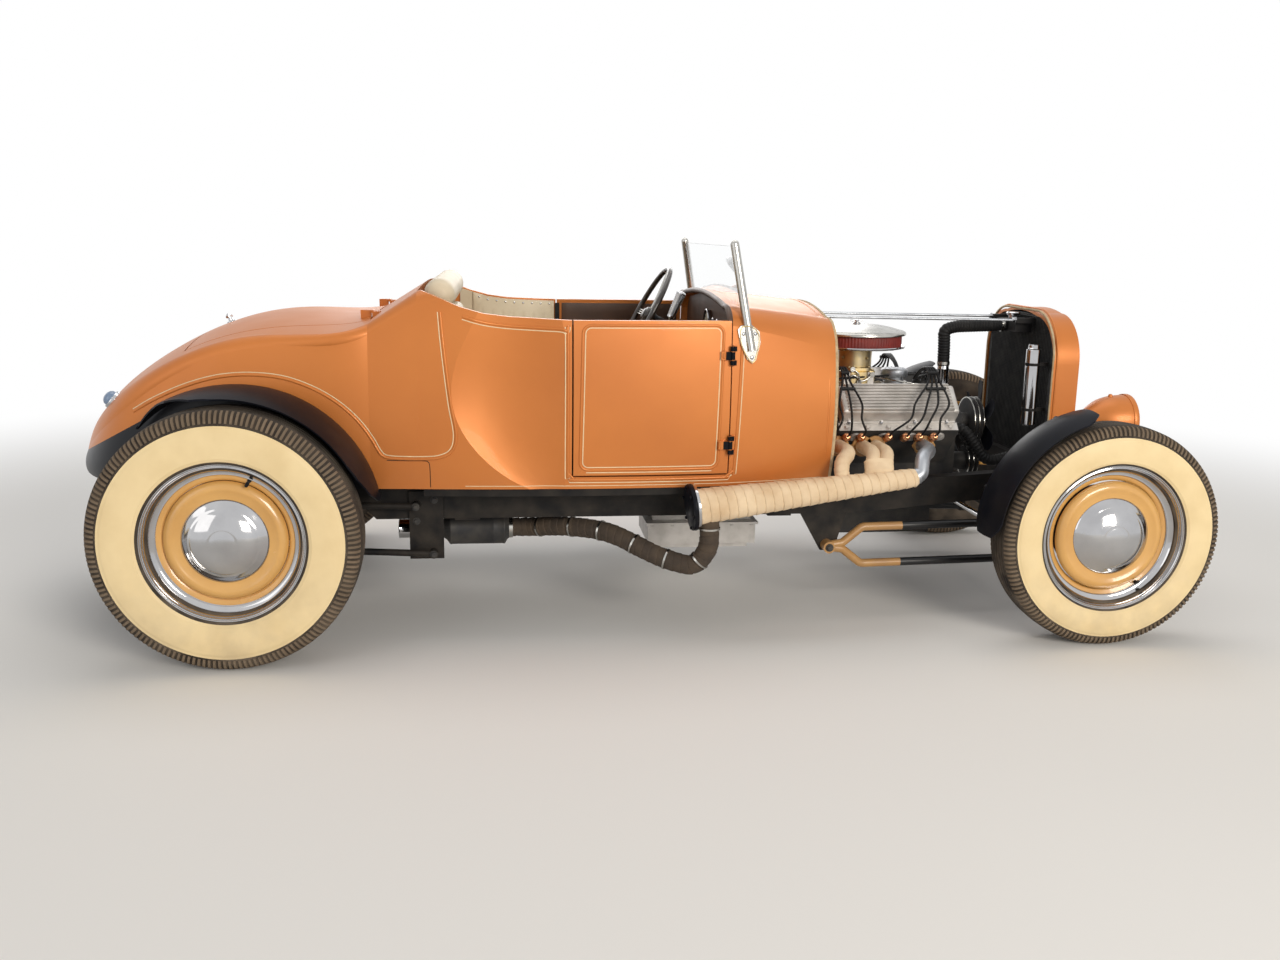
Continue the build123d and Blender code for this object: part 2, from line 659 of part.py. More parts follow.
def rear_axle():
    tube = rod((rear_x, -655, rear_tyre_r), (rear_x, 655, rear_tyre_r), 38)
    ball = Pos(rear_x, 0, rear_tyre_r) * Sphere(122)
    nose = rod((rear_x + 60, 0, rear_tyre_r), (rear_x + 190, 0, rear_tyre_r), 80, 46)
    axle = tube + ball + nose
    for s in (-1, 1):
        axle = axle + rod((rear_x, s * 660, rear_tyre_r), (rear_x, s * 669, rear_tyre_r), 150)
        axle = axle + rod((rear_x, s * 640, rear_tyre_r), (rear_x, s * 664, rear_tyre_r), 60)
        axle = axle + rod((rear_x, s * 660, rear_tyre_r), (rear_x, s * 705, rear_tyre_r), 18)
        axle = axle + box(rear_x - 30, rear_x + 60, s * 446 - 6, s * 446 + 6, 255, 460)
        axle = axle + box(rear_x - 80, rear_x + 10, s * 310 - 6, s * 310 + 6, 354, 440)
    return axle


def drive_shaft():
    shaft = rod((-130, 0, crank_z + 1.5), (rear_x + 170, 0, rear_tyre_r - 1.5), 38)
    return shaft & box(rear_x + 190, -150, -60, 60, 300, 560)


def rear_links():
    plate = box(-745, -636, -rail_out - 12, -rail_out, 234, 458)
    links = plate
    for z, x, rise in ((414.0, -722.0, 12.0), (256.0, -668.0, 26.0)):
        links = links + rod((x, -rail_out - 2, z), (x, -rail_out - 44, z), 14)
        links = links + rod((x, -rail_out - 32, z), (rear_x + 30, -rail_out - 32, z + rise), 11)
    shock = rod((rear_x - 70, -322, 392), (rear_x - 165, -322, 560), 24)
    shock = shock + rod((rear_x - 52, -322, 362), (rear_x - 170, -322, 570), 9)
    shock = shock & box(-1430, -1100, -352, -316, 356, 520)
    links = links - rear_axle()
    return together(pair(links), pair(shock - rear_axle()))


def bank(u, length, width, height, side):
    return Pos(0.5 * (block_x0 + block_x1), 0, crank_z) * Rot(45 * side, 0, 0) * Pos(0, 0, u) * Box(
        length, width, height)


def engine_block():
    block = box(block_x0, block_x1, -150, 150, 380, 560) + box(730, 1120, -110, 110, 215, 380)
    for side in (-1, 1):
        block = block + bank(160, 440, 180, 190, side) + bank(290, 430, 190, 80, side)
    return block + box(block_x1, 1200, -110, 110, 420, 690)


def valve_covers():
    cover = bank(362, 413, 128, 64, 1)
    for i in range(-4, 5):
        rib = Pos(0.5 * (block_x0 + block_x1), 0, crank_z) * Rot(45, 0, 0) * Pos(0, i * 13.0, 398) * Box(
            380, 5, 12)
        cover = cover + rib
    return pair(cover)


neck_x, neck_top = 1178.0, 830.0


def intake():
    base = box(740, 1090, -115, 115, 600, 742)
    carb = box(785, 895, -62, 62, 742, 800) + Pos(840, 0, 842) * Cylinder(58, 86)
    filler = Pos(992, 0, 762) * Cylinder(32, 50) + Pos(992, 0, 794) * Cylinder(47, 24)
    neck = Pos(neck_x, 0, 760) * Cylinder(19, 2 * (neck_top - 760))
    return together(base + carb + filler - engine_block(), neck - engine_block())


def air_cleaner():
    pan = Pos(840, 0, 890) * Cylinder(176, 10)
    element = Pos(840, 0, 916) * Cylinder(164, 42)
    lid = Pos(840, 0, 943) * Cylinder(178, 12) + Pos(840, 0, 960) * Cone(168, 60, 22)
    nut = Pos(840, 0, 978) * Cylinder(9, 18)
    return pan + element + lid + nut


fan_z = 613.0


def fan_drive():
    pulley = rod((1200, 0, crank_z), (1280, 0, crank_z), 34) + rod((1280, 0, crank_z), (1318, 0, crank_z), 60)
    pump = rod((1200, 0, fan_z), (1280, 0, fan_z), 44) + rod((1280, 0, fan_z), (1318, 0, fan_z), 88)
    fan = rod((1318, 0, fan_z), (1336, 0, fan_z), 46)
    for i in range(6):
        blade = Rot(60 * i, 0, 0) * Pos(0, 0, 95) * Rot(0, 0, 24) * Box(5, 58, 110)
        fan = fan + Pos(1327, 0, fan_z) * blade
    dynamo = rod((1090, 215, 560), (1240, 215, 560), 56) + box(1100, 1140, 100, 215, 545, 575)
    return together(pulley, pump + fan, dynamo - engine_block())


def hoses():
    upper = pipe([(neck_x, 0, neck_top - 3), (neck_x - 6, 0, 950), (tank_x + 20, 0, 970)], 34, 22)
    lower = pipe([(1170, -100, 612), (1218, -142, 604), (1300, -168, 484), (1390, -180, 510),
                  (rad_x + 40, -195, 563)], 26, 20)
    return together(upper & box(neck_x - 60, tank_x, -40, 40, neck_top, 1040),
                    lower - engine_block() - box(rad_x, rad_x + 80, -260, -120, 480, 640))


def transmission():
    bell = rod((block_x0, 0, crank_z), (520, 0, crank_z), 165, 118)
    case = rod((520, 0, crank_z), (120, 0, crank_z), 112) + rod((120, 0, crank_z), (-150, 0, crank_z), 72, 60)
    pan = box(70, 460, -140, 140, 190, 262) + box(95, 435, -115, 115, 171, 190) + box(90, 450, -100, 100, 262, 420)
    flange = box(62, 468, -150, 150, 262, 270)
    return bell + case + pan + flange


header_y = 612.0
pipe_y = -290.0
pipe_z = 300.0


def headers():
    front_y = header_y - 55
    cone = rod((165, -header_y, 439), (905, -front_y, 516), 58, 28)
    cap = rod((141, -header_y, 437), (165, -header_y, 439), 74)
    header = cone + cap
    for port_x, out_x, r in ((706.0, 652.0, 24.0), (790.0, 758.0, 22.0), (836.0, 803.0, 22.0)):
        header = header + pipe([(port_x, -262, 572), (port_x - 8, -455, 578), (out_x, -523, 560),
                                (out_x - 5, -front_y - 5, 505)], 28, r)
    header = header + pipe([(1010, -262, 572), (985, -430, 580), (925, -525, 578), (912, -front_y, 524),
                            (868, -front_y - 3, 513)], 28, 24)
    return pair(header - engine_block())


def exhaust_pipes():
    route = [(206, -header_y + 5, 430), (208, -header_y + 5, 300), (162, -592, 236), (60, -556, 258),
             (-100, -462, 325), (-230, -382, 325), (-360, pipe_y, pipe_z), (-520, pipe_y, pipe_z)]
    tube = pipe(route, 42, 32) - headers()
    muffler = rod((-420, pipe_y, pipe_z), (-640, pipe_y, pipe_z), 55)
    tip = rod((-630, pipe_y, pipe_z), (-790, pipe_y, pipe_z), 31.75)
    return pair(tube + muffler + tip)


def save(name, piece):
    found = piece.solids()
    shape = found[0] if len(found) == 1 else Compound(found)
    export_step(shape, "parts/" + name + ".step")


def build():
    save("frame_rails", pair(rails() + jack_pads()))
    save("frame_crossmembers", together(crossmembers(), engine_mounts(), headlight_stands(),
                                        wishbone_brackets()))
    save("floor_pan", together(floor_pan(), trunk_floor()))
    posts = hinge_posts()
    front_body = cowl()
    for post in posts:
        front_body = front_body + post + other_side(post)
    save("cowl", front_body)
    save("tub", together(tub(), ridge()))
    save("door_right", door(-1))
    save("door_left", door(1))
    save("tail_shell", tail())
    save("deck_lid", deck_lid())
    save("seat_cushion", seat_cushion())
    save("seat_back", seat_back())
    save("side_trim", side_trim())
    save("dashboard", dashboard())
    save("steering_column", steering_column())
    save("steering_wheel", steering_wheel())
    save("levers", levers())
    save("windshield_posts", windshield_posts())
    save("windshield_glass", windshield_glass())
    save("radiator_shell", radiator_shell())
    save("radiator", radiator())
    save("grille", grille())
    save("headlight_buckets", headlight_buckets())
    save("headlight_rims", headlight_rims())
    save("tail_lamps", tail_lamps())
    save("support_rods", support_rods())
    save("front_axle", front_axle())
    save("front_spring", front_spring())
    save("wishbones", wishbones())
    save("tie_rod", tie_rod())
    save("rear_axle", together(rear_axle(), drive_shaft()))
    save("rear_links", rear_links())
    save("rear_fenders", rear_fenders())
    save("engine_block", engine_block())
    save("valve_covers", valve_covers())
    save("intake", intake())
    save("air_cleaner", air_cleaner())
    save("fan_drive", fan_drive())
    save("hoses", hoses())
    save("transmission", transmission())
    save("headers", headers())
    save("exhaust_pipes", exhaust_pipes())
    save("knuckle_right", knuckle())
    save("knuckle_left", other_side(knuckle()))
    save("front_fender_right", front_fender())
    save("front_fender_left", other_side(front_fender()))
    corners = [
        ("front_right", front_x, -front_track, front_tyre_r, front_tyre_w),
        ("front_left", front_x, front_track, front_tyre_r, front_tyre_w),
        ("rear_right", rear_x, -rear_track, rear_tyre_r, rear_tyre_w),
        ("rear_left", rear_x, rear_track, rear_tyre_r, rear_tyre_w),
    ]
    for name, x, y, radius, width in corners:
        save("tyre_" + name, placed(tyre(radius, width), x, y, radius))
        save("wheel_" + name, placed(wheel(width), x, y, radius))


build()
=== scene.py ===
import math
import bmesh
import bpy
import numpy as np
from mathutils import Matrix, Vector
from mathutils.bvhtree import BVHTree


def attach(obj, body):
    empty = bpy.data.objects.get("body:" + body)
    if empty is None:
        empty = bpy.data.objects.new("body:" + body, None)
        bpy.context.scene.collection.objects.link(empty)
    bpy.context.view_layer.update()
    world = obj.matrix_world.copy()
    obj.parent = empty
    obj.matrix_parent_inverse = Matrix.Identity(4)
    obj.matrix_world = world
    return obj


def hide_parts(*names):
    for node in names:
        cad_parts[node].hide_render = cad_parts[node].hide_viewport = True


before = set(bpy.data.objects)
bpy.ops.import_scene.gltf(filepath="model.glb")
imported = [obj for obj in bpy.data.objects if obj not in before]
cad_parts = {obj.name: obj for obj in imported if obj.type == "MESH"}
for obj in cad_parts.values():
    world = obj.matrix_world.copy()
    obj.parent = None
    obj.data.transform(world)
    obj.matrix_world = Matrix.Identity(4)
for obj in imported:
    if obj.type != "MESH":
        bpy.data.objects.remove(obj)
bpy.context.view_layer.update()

turn = 2 * math.pi
sides = {"right": -1.0, "left": 1.0}
sharpAngle = 38.0  # degrees past which an edge isn't smoothed
engineX, crankZ = 0.92, 0.46  # the engine's middle and the height of its crankshaft
airX = 0.84  # the middle of carburettor and air cleaner


def mm(rows):
    # Rows of lengths in millimetres, as metres.
    return [tuple((length / 1000 for length in row)) for row in rows]


# Camera, lights and stage
def makeCamera():
    # The camera's axes come from its yaw, then its downward pitch, then its roll.
    yaw, pitch, roll = -0.1192, 0.2101, 0.0152
    up0 = Vector((0, 0, 1))
    forward0 = Vector((-math.sin(yaw), math.cos(yaw), 0))
    right0 = Vector((math.cos(yaw), math.sin(yaw), 0))
    forward = forward0 * math.cos(pitch) - up0 * math.sin(pitch)
    up1 = up0 * math.cos(pitch) + forward0 * math.sin(pitch)
    right = right0 * math.cos(roll) + up1 * math.sin(roll)
    up = up1 * math.cos(roll) - right0 * math.sin(roll)
    data = bpy.data.cameras.new("camera")
    data.sensor_width = 36
    data.lens = 32.9
    data.clip_end = 100
    camera = bpy.data.objects.new("camera", data)
    camera.matrix_world = Matrix(((right.x, up.x, -forward.x, -0.4433), (right.y, up.y, -forward.y, -4.1607),
        (right.z, up.z, -forward.z, 1.2897), (0, 0, 0, 1)))
    bpy.context.scene.collection.objects.link(camera)
    bpy.context.scene.camera = camera


# Each lamp: place, target, size in metres, power in watts, colour
lamps = {
    "keyLight": ((3.2, -8.2, 3.2), (-0.2, 0, 0.5), (3.0, 3.0), 465, (1.0, 0.94, 0.85)),
    "fillLight": ((-4.6, -3.6, 2.2), (-0.8, 0, 0.5), (3.0, 3.0), 30, (1.0, 0.97, 0.93)),
    "topLight": ((0, 0.6, 5.0), (0, 0, 0.5), (5.0, 3.0), 66, (1.0, 0.98, 0.96)),
    "backLight": ((0.5, 5.0, 2.6), (0, 0, 0.6), (4.0, 2.5), 90, (1.0, 0.98, 0.96)),
}
stageLook = {"floorColour": (0.84, 0.83, 0.81), "ambient": 0.36, "nearFloor": 2.7, "farFloor": 5.6}


def makeStage():
    # Lamps look from their place at their target. The floor fades to plain white far from the car.
    scene = bpy.context.scene
    scene.view_settings.view_transform = "Standard"
    for name, (place, target, size, power, colour) in lamps.items():
        data = bpy.data.lights.new(name, "AREA")
        data.shape = "RECTANGLE"
        data.size, data.size_y = size
        data.energy = power
        data.color = colour
        lamp = bpy.data.objects.new(name, data)
        lamp.location = place
        lamp.rotation_euler = (Vector(target) - Vector(place)).to_track_quat("-Z", "Y").to_euler()
        scene.collection.objects.link(lamp)
    mesh = bpy.data.meshes.new("floor")
    mesh.from_pydata([(-60, -60, 0), (60, -60, 0), (60, 60, 0), (-60, 60, 0)], [], [(0, 1, 2, 3)])
    floor = bpy.data.objects.new("floor", mesh)
    scene.collection.objects.link(floor)
    material = bpy.data.materials.new("floorPale")
    material.use_nodes = True
    tree = material.node_tree
    shader = tree.nodes["Principled BSDF"]
    shader.inputs["Base Color"].default_value = *stageLook["floorColour"], 1
    shader.inputs["Roughness"].default_value = 0.85
    shader.inputs["Specular IOR Level"].default_value = 0.2
    place = addNode(tree, "ShaderNodeTexCoord").outputs["Object"]
    length = addNode(tree, "ShaderNodeVectorMath", {0: place}, operation="LENGTH").outputs["Value"]
    far = addNode(tree, "ShaderNodeMapRange", {"Value": length, "From Min": stageLook["nearFloor"],
        "From Max": stageLook["farFloor"]}, interpolation_type="SMOOTHSTEP")
    seen = maths(tree, "MULTIPLY", far.outputs["Result"], seenRays(tree))
    white = addNode(tree, "ShaderNodeEmission").outputs[0]
    blend = addNode(tree, "ShaderNodeMixShader", {0: seen, 1: shader.outputs[0], 2: white})
    tree.links.new(blend.outputs[0], tree.nodes["Material Output"].inputs["Surface"])
    mesh.materials.append(material)
    world = bpy.data.worlds.new("world")
    scene.world = world
    world.use_nodes = True
    tree = world.node_tree
    strength = addNode(tree, "ShaderNodeMapRange", {"Value": seenRays(tree), "To Min": stageLook["ambient"],
        "To Max": 1.0})
    tree.links.new(strength.outputs[0], tree.nodes["Background"].inputs["Strength"])
    tree.nodes["Background"].inputs["Color"].default_value = 1, 1, 1, 1


def seenRays(tree):
    # One for rays from the camera, a mirror or glass, and nought for all others.
    path = tree.nodes.new("ShaderNodeLightPath")
    total = path.outputs["Is Camera Ray"]
    for ray in ("Is Glossy Ray", "Is Transmission Ray"):
        total = maths(tree, "ADD", total, path.outputs[ray], clamp=True)
    return total


# Shader groups, built once
def shaderGroup(name, inputs, outputs):
    # A node group with named sockets, then what comes into it and what goes out of it.
    group = bpy.data.node_groups.new(name, "ShaderNodeTree")
    for label, kind, value in inputs:
        socket = group.interface.new_socket(name=label, in_out="INPUT", socket_type="NodeSocket" + kind)
        socket.default_value = value
    for label, kind in outputs:
        group.interface.new_socket(name=label, in_out="OUTPUT", socket_type="NodeSocket" + kind)
    return group, group.nodes.new("NodeGroupInput").outputs, group.nodes.new("NodeGroupOutput").inputs


def addNode(tree, kind, values=None, **settings):
    # One node with its settings; a value that is a socket is linked, any other is set.
    node = tree.nodes.new(kind)
    for key, value in settings.items():
        setattr(node, key, value)
    for key, value in (values or {}).items():
        if isinstance(value, bpy.types.NodeSocket):
            tree.links.new(value, node.inputs[key])
        else:
            node.inputs[key].default_value = value
    return node


def maths(tree, operation, *values, clamp=False):
    # The result of one arithmetic node.
    return addNode(tree, "ShaderNodeMath", dict(enumerate(values)), operation=operation, use_clamp=clamp).outputs[0]


def mixColour(tree, factor, first, second):
    # The second colour over the first, by a factor.
    return addNode(tree, "ShaderNodeMix", {0: factor, 6: first, 7: second}, data_type="RGBA").outputs[2]


def makeMottle():
    # Colour drifts from one tone to a second where a broad noise is high.
    group, given, result = shaderGroup("mottle", [("Vector", "Vector", (0, 0, 0)),
        ("Colour", "Color", (1, 1, 1, 1)), ("Second", "Color", (0, 0, 0, 1)), ("Scale", "Float", 4.0),
        ("Amount", "Float", 0.5)],
        [("Colour", "Color"), ("Mask", "Float")])
    noise = addNode(group, "ShaderNodeTexNoise", {"Vector": given["Vector"], "Scale": given["Scale"], "Detail": 5.0})
    mask = addNode(group, "ShaderNodeMapRange", {"Value": noise.outputs[0], "From Min": 0.38, "From Max": 0.68,
        "To Max": given["Amount"]}).outputs[0]
    group.links.new(mixColour(group, mask, given["Colour"], given["Second"]), result["Colour"])
    group.links.new(mask, result["Mask"])
    return group


def makeGrain():
    # Height from a fine noise with small cells over it, and a roughness that follows a slower noise.
    group, given, result = shaderGroup("grain", [("Vector", "Vector", (0, 0, 0)), ("Scale", "Float", 300.0),
        ("Cells", "Float", 0.0), ("Rough", "Float", 0.4), ("Spread", "Float", 0.1)],
        [("Height", "Float"), ("Roughness", "Float")])
    noise = addNode(group, "ShaderNodeTexNoise", {"Vector": given["Vector"], "Scale": given["Scale"], "Detail": 3.0})
    cells = addNode(group, "ShaderNodeTexVoronoi", {"Vector": given["Vector"], "Scale": given["Scale"]})
    slow = addNode(group, "ShaderNodeTexNoise", {"Vector": given["Vector"], "Scale": 9.0, "Detail": 6.0})
    centred = maths(group, "SUBTRACT", slow.outputs[0], 0.5)
    group.links.new(maths(group, "MULTIPLY_ADD", cells.outputs["Distance"], given["Cells"], noise.outputs[0]),
        result["Height"])
    group.links.new(maths(group, "MULTIPLY_ADD", centred, given["Spread"], given["Rough"]), result["Roughness"])
    return group


def makeDust():
    # Road dust is thickest at the floor, thins out with height and is broken up by noise.
    group, given, result = shaderGroup("dust", [("Vector", "Vector", (0, 0, 0)), ("Top", "Float", 0.6),
        ("Amount", "Float", 0.3)], [("Mask", "Float")])
    height = addNode(group, "ShaderNodeSeparateXYZ", {0: given["Vector"]}).outputs["Z"]
    fall = addNode(group, "ShaderNodeMapRange", {"Value": height, "From Max": given["Top"],
        "To Min": given["Amount"], "To Max": 0.0})
    noise = addNode(group, "ShaderNodeTexNoise", {"Vector": given["Vector"], "Scale": 14.0, "Detail": 7.0})
    patchy = addNode(group, "ShaderNodeMapRange", {"Value": noise.outputs[0], "From Min": 0.35, "From Max": 0.7})
    group.links.new(maths(group, "MULTIPLY", fall.outputs[0], patchy.outputs[0], clamp=True), result["Mask"])
    return group


def makeWeave():
    # Two crossed sets of fine waves, one thread over the next.
    group, given, result = shaderGroup("weave", [("Vector", "Vector", (0, 0, 0)), ("Scale", "Float", 200.0)],
        [("Height", "Float")])
    waves = [addNode(group, "ShaderNodeTexWave", {"Vector": given["Vector"], "Scale": given["Scale"],
        "Distortion": 0.6}, bands_direction=way).outputs[1] for way in ("X", "Z")]
    group.links.new(maths(group, "MAXIMUM", *waves), result["Height"])
    return group


groups = {"mottle": makeMottle(), "grain": makeGrain(), "dust": makeDust(), "weave": makeWeave()}


def placeGroup(tree, name, values):
    # One of the groups as a node of a tree.
    return addNode(tree, "ShaderNodeGroup", values, node_tree=groups[name])


dull = {"Specular IOR Level": 0.14}

# Finishes: colour, second tone, roughness and its spread, metallic, grain scale, cells, bump height in mm,
# dust, coat, and any further socket of the shader
finishes = {
    "body_paint": dict(colour=(0.6, 0.2, 0.045), second=(0.48, 0.148, 0.033), scale=2.2, amount=0.6, rough=0.4,
        spread=0.12, metal=0.25, grain=900, bump=0.03, dust=0.25, coat=0.06, extra={"Specular IOR Level": 0.32}),
    "fender_black": dict(colour=(0.005, 0.006, 0.009), second=(0.01, 0.011, 0.017), scale=5, rough=0.38,
        spread=0.12, grain=250, bump=0.02, dust=0.04, dustTop=0.9, extra={"Specular IOR Level": 0.06}),
    "frame_black": dict(colour=(0.008, 0.008, 0.009), second=(0.02, 0.018, 0.016), scale=12, rough=0.5, spread=0.25,
        grain=260, bump=0.12, dust=0.22, extra=dull),
    "upholstery": dict(colour=(0.7, 0.6, 0.44), second=(0.58, 0.48, 0.33), scale=7, rough=0.5, spread=0.2,
        grain=420, cells=0.8, bump=0.18),
    "dash_brown": dict(colour=(0.075, 0.036, 0.02), second=(0.045, 0.022, 0.013), scale=9, rough=0.45, spread=0.2,
        grain=380, cells=0.8, bump=0.15),
    "rim_dark": dict(colour=(0.03, 0.022, 0.018), second=(0.05, 0.035, 0.028), scale=14, rough=0.3, spread=0.15,
        grain=300, bump=0.03, coat=0.3),
    "polished_metal": dict(colour=(0.48, 0.47, 0.44), second=(0.36, 0.35, 0.33), scale=20, rough=0.24, spread=0.2,
        metal=1.0, grain=500, bump=0.02),
    "clear_glass": dict(colour=(0.98, 0.99, 0.99), rough=0.02, spread=0.03, grain=20, bump=0.0,
        extra={"Transmission Weight": 1.0, "IOR": 1.2}),
    "lens_glass": dict(colour=(0.92, 0.93, 0.93), rough=0.06, spread=0.05, grain=40, bump=0.0,
        extra={"Transmission Weight": 0.7, "IOR": 1.45}),
    "lamp_blue": dict(colour=(0.12, 0.2, 0.34), second=(0.2, 0.28, 0.4), scale=30, rough=0.18, spread=0.1,
        grain=200, bump=0.02, coat=0.6),
    "chrome": dict(colour=(0.52, 0.52, 0.53), second=(0.42, 0.42, 0.43), scale=10, rough=0.09, spread=0.1,
        metal=1.0, grain=60, bump=0.004, dust=0.12),
    "wishbone_tan": dict(colour=(0.46, 0.25, 0.085), second=(0.36, 0.19, 0.07), scale=12, rough=0.35, spread=0.2,
        grain=300, bump=0.05, dust=0.2),
    "engine_iron": dict(colour=(0.04, 0.04, 0.042), second=(0.085, 0.078, 0.07), scale=16, rough=0.5, spread=0.3,
        metal=0.1, grain=320, cells=0.4, bump=0.25, extra=dull),
    "cast_alloy": dict(colour=(0.58, 0.555, 0.53), second=(0.41, 0.39, 0.365), scale=18, rough=0.42, spread=0.25,
        metal=0.45, grain=420, cells=0.5, bump=0.15),
    "hose_rubber": dict(colour=(0.01, 0.01, 0.011), second=(0.024, 0.023, 0.022), scale=14, rough=0.5, spread=0.2,
        grain=420, bump=0.08, extra=dull),
    "header_wrap": dict(colour=(0.82, 0.64, 0.43), second=(0.62, 0.43, 0.25), scale=11, rough=0.85, spread=0.1,
        grain=700, bump=0.25, weave=260),
    "wheel_tan": dict(colour=(0.7, 0.39, 0.115), second=(0.59, 0.31, 0.085), scale=6, rough=0.25, spread=0.15,
        grain=300, bump=0.02, dust=0.1, coat=0.4),
    "tyre": dict(colour=(0.034, 0.028, 0.024), second=(0.072, 0.057, 0.043), scale=16, rough=0.75, spread=0.2,
        grain=420, cells=0.4, bump=0.12, dust=0.45, dustTop=0.9, extra=dull),
    "tread_dust": dict(colour=(0.15, 0.112, 0.078), second=(0.215, 0.16, 0.11), scale=22, rough=0.85, spread=0.1,
        grain=420, cells=0.4, bump=0.12, dust=0.3, dustTop=0.9, extra=dull),
    "white_wall": dict(colour=(0.82, 0.65, 0.37), second=(0.73, 0.56, 0.3), scale=9, rough=0.55, spread=0.2,
        grain=300, bump=0.06, dust=0.35, dustTop=0.35),
    "pin_stripe": dict(colour=(0.78, 0.66, 0.42), second=(0.66, 0.54, 0.34), scale=40, rough=0.4, spread=0.1,
        grain=400, bump=0.01),
    "lacing": dict(colour=(0.6, 0.47, 0.29), second=(0.4, 0.28, 0.15), scale=60, rough=0.8, spread=0.1, grain=600,
        bump=0.2, weave=380),
    "down_wrap": dict(colour=(0.05, 0.036, 0.026), second=(0.1, 0.07, 0.045), scale=14, rough=0.85, spread=0.1,
        grain=600, bump=0.3, weave=260),
    "filter_red": dict(colour=(0.2, 0.018, 0.012), second=(0.11, 0.01, 0.008), scale=30, rough=0.6, spread=0.2,
        grain=500, bump=0.1),
    "zinc_gold": dict(colour=(0.62, 0.48, 0.24), second=(0.42, 0.36, 0.26), scale=34, rough=0.35, spread=0.2,
        metal=0.9, grain=420, bump=0.08),
    "bare_steel": dict(colour=(0.4, 0.42, 0.45), second=(0.26, 0.27, 0.29), scale=22, rough=0.4, spread=0.2,
        metal=0.8, grain=420, bump=0.05),
    "shield_copper": dict(colour=(0.62, 0.3, 0.15), second=(0.35, 0.15, 0.08), scale=40, rough=0.3, spread=0.2,
        metal=0.9, grain=400, bump=0.03),
    "dial_cream": dict(colour=(0.72, 0.66, 0.52), second=(0.6, 0.54, 0.42), scale=60, rough=0.35, spread=0.1,
        grain=300, bump=0.01),
    "core_black": dict(colour=(0.01, 0.01, 0.01), second=(0.03, 0.028, 0.026), scale=25, rough=0.6, spread=0.2,
        grain=200, bump=0.1, extra=dull),
}
dustColour = 0.3, 0.24, 0.18, 1


def makeFinish(name, colour, rough, spread, grain, bump, second=None, scale=5, amount=0.8, metal=0.0, cells=0.0,
               dust=0.0, dustTop=0.6, coat=0.0, weave=0, extra=None):
    # Tone, dust, roughness and bump come from the groups; the rest is set on the shader.
    material = bpy.data.materials.new(name)
    material.use_nodes = True
    tree = material.node_tree
    shader = tree.nodes["Principled BSDF"]
    place = tree.nodes.new("ShaderNodeTexCoord").outputs["Object"]
    shader.inputs["Metallic"].default_value = metal
    shader.inputs["Coat Weight"].default_value = coat
    for key, value in (extra or {}).items():
        shader.inputs[key].default_value = value
    tone = placeGroup(tree, "mottle", {"Vector": place, "Colour": (*colour, 1), "Second": (*(second or colour), 1),
        "Scale": scale, "Amount": amount}).outputs["Colour"]
    fine = placeGroup(tree, "grain", {"Vector": place, "Scale": grain, "Cells": cells, "Rough": rough,
        "Spread": spread})
    if dust:
        mask = placeGroup(tree, "dust", {"Vector": place, "Top": dustTop, "Amount": dust}).outputs["Mask"]
        tone = mixColour(tree, mask, tone, dustColour)
    tree.links.new(tone, shader.inputs["Base Color"])
    tree.links.new(fine.outputs["Roughness"], shader.inputs["Roughness"])
    height = fine.outputs["Height"]
    if weave:
        threads = placeGroup(tree, "weave", {"Vector": place, "Scale": weave}).outputs["Height"]
        height = addNode(tree, "ShaderNodeMath", {0: height, 1: threads}, operation="ADD").outputs[0]
    if bump:
        relief = addNode(tree, "ShaderNodeBump", {"Height": height, "Distance": bump / 1000.0, "Strength": 1.0})
        tree.links.new(relief.outputs[0], shader.inputs["Normal"])
    return material


looks = {name: makeFinish(name, **values) for name, values in finishes.items()}


def splitFinish(name, first, second, normal, level, edge, arch=None):
    # Copies one finish and takes a second tone where a point lies below a plane and behind an upright edge,
    # or within a wheel arch: distance(point, axle) < radius, seen from the side, where the tone is painted shade.
    material = looks[first].copy()
    material.name = name
    tree = material.node_tree
    shader = tree.nodes["Principled BSDF"]
    place = tree.nodes.new("ShaderNodeTexCoord").outputs["Object"]
    height = addNode(tree, "ShaderNodeVectorMath", {0: place, 1: normal}, operation="DOT_PRODUCT").outputs["Value"]
    ahead = addNode(tree, "ShaderNodeSeparateXYZ", {0: place}).outputs["X"]
    low = maths(tree, "MULTIPLY", maths(tree, "LESS_THAN", height, level), maths(tree, "LESS_THAN", ahead, edge))
    # inside the wheel arch the second tone is painted shade, standing in for the shadow under the fender
    if arch:
        x, z, radius = arch
        flat = addNode(tree, "ShaderNodeVectorMath", {0: place, 1: (1, 0, 1)}, operation="MULTIPLY").outputs[0]
        reach = addNode(tree, "ShaderNodeVectorMath", {0: flat, 1: (x, 0, z)}, operation="DISTANCE").outputs["Value"]
        low = maths(tree, "MAXIMUM", low, maths(tree, "LESS_THAN", reach, radius))
    tone = shader.inputs["Base Color"].links[0].from_socket
    mixed = mixColour(tree, low, tone, (*finishes[second]["colour"], 1))
    tree.links.new(mixed, shader.inputs["Base Color"])
    return material


# The copper ends on a line low on the tail, with real black paint below it; the skin inside the rear wheel arch is
# painted black as painted shade under the fender; the radius rods are tan behind and black ahead
looks["tail_black_and_arch_shade"] = splitFinish("tail_black_and_arch_shade", "body_paint", "fender_black", (-0.544, 0, 1), 1.5363, -1.53,
    (-1.245, 0.39, 0.424))
looks["rod_two_tone"] = splitFinish("rod_two_tone", "wishbone_tan", "frame_black", (-1, 0, 0), -0.905, 9.0)
nodeLooks = {"tail_shell": "tail_black_and_arch_shade", "wishbones": "rod_two_tone", "support_rods": "bare_steel"}


# Mesh helpers
def unit(v):
    # Each vector divided by its length.
    v = np.asarray(v, float)
    return v / np.linalg.norm(v, axis=-1, keepdims=True)


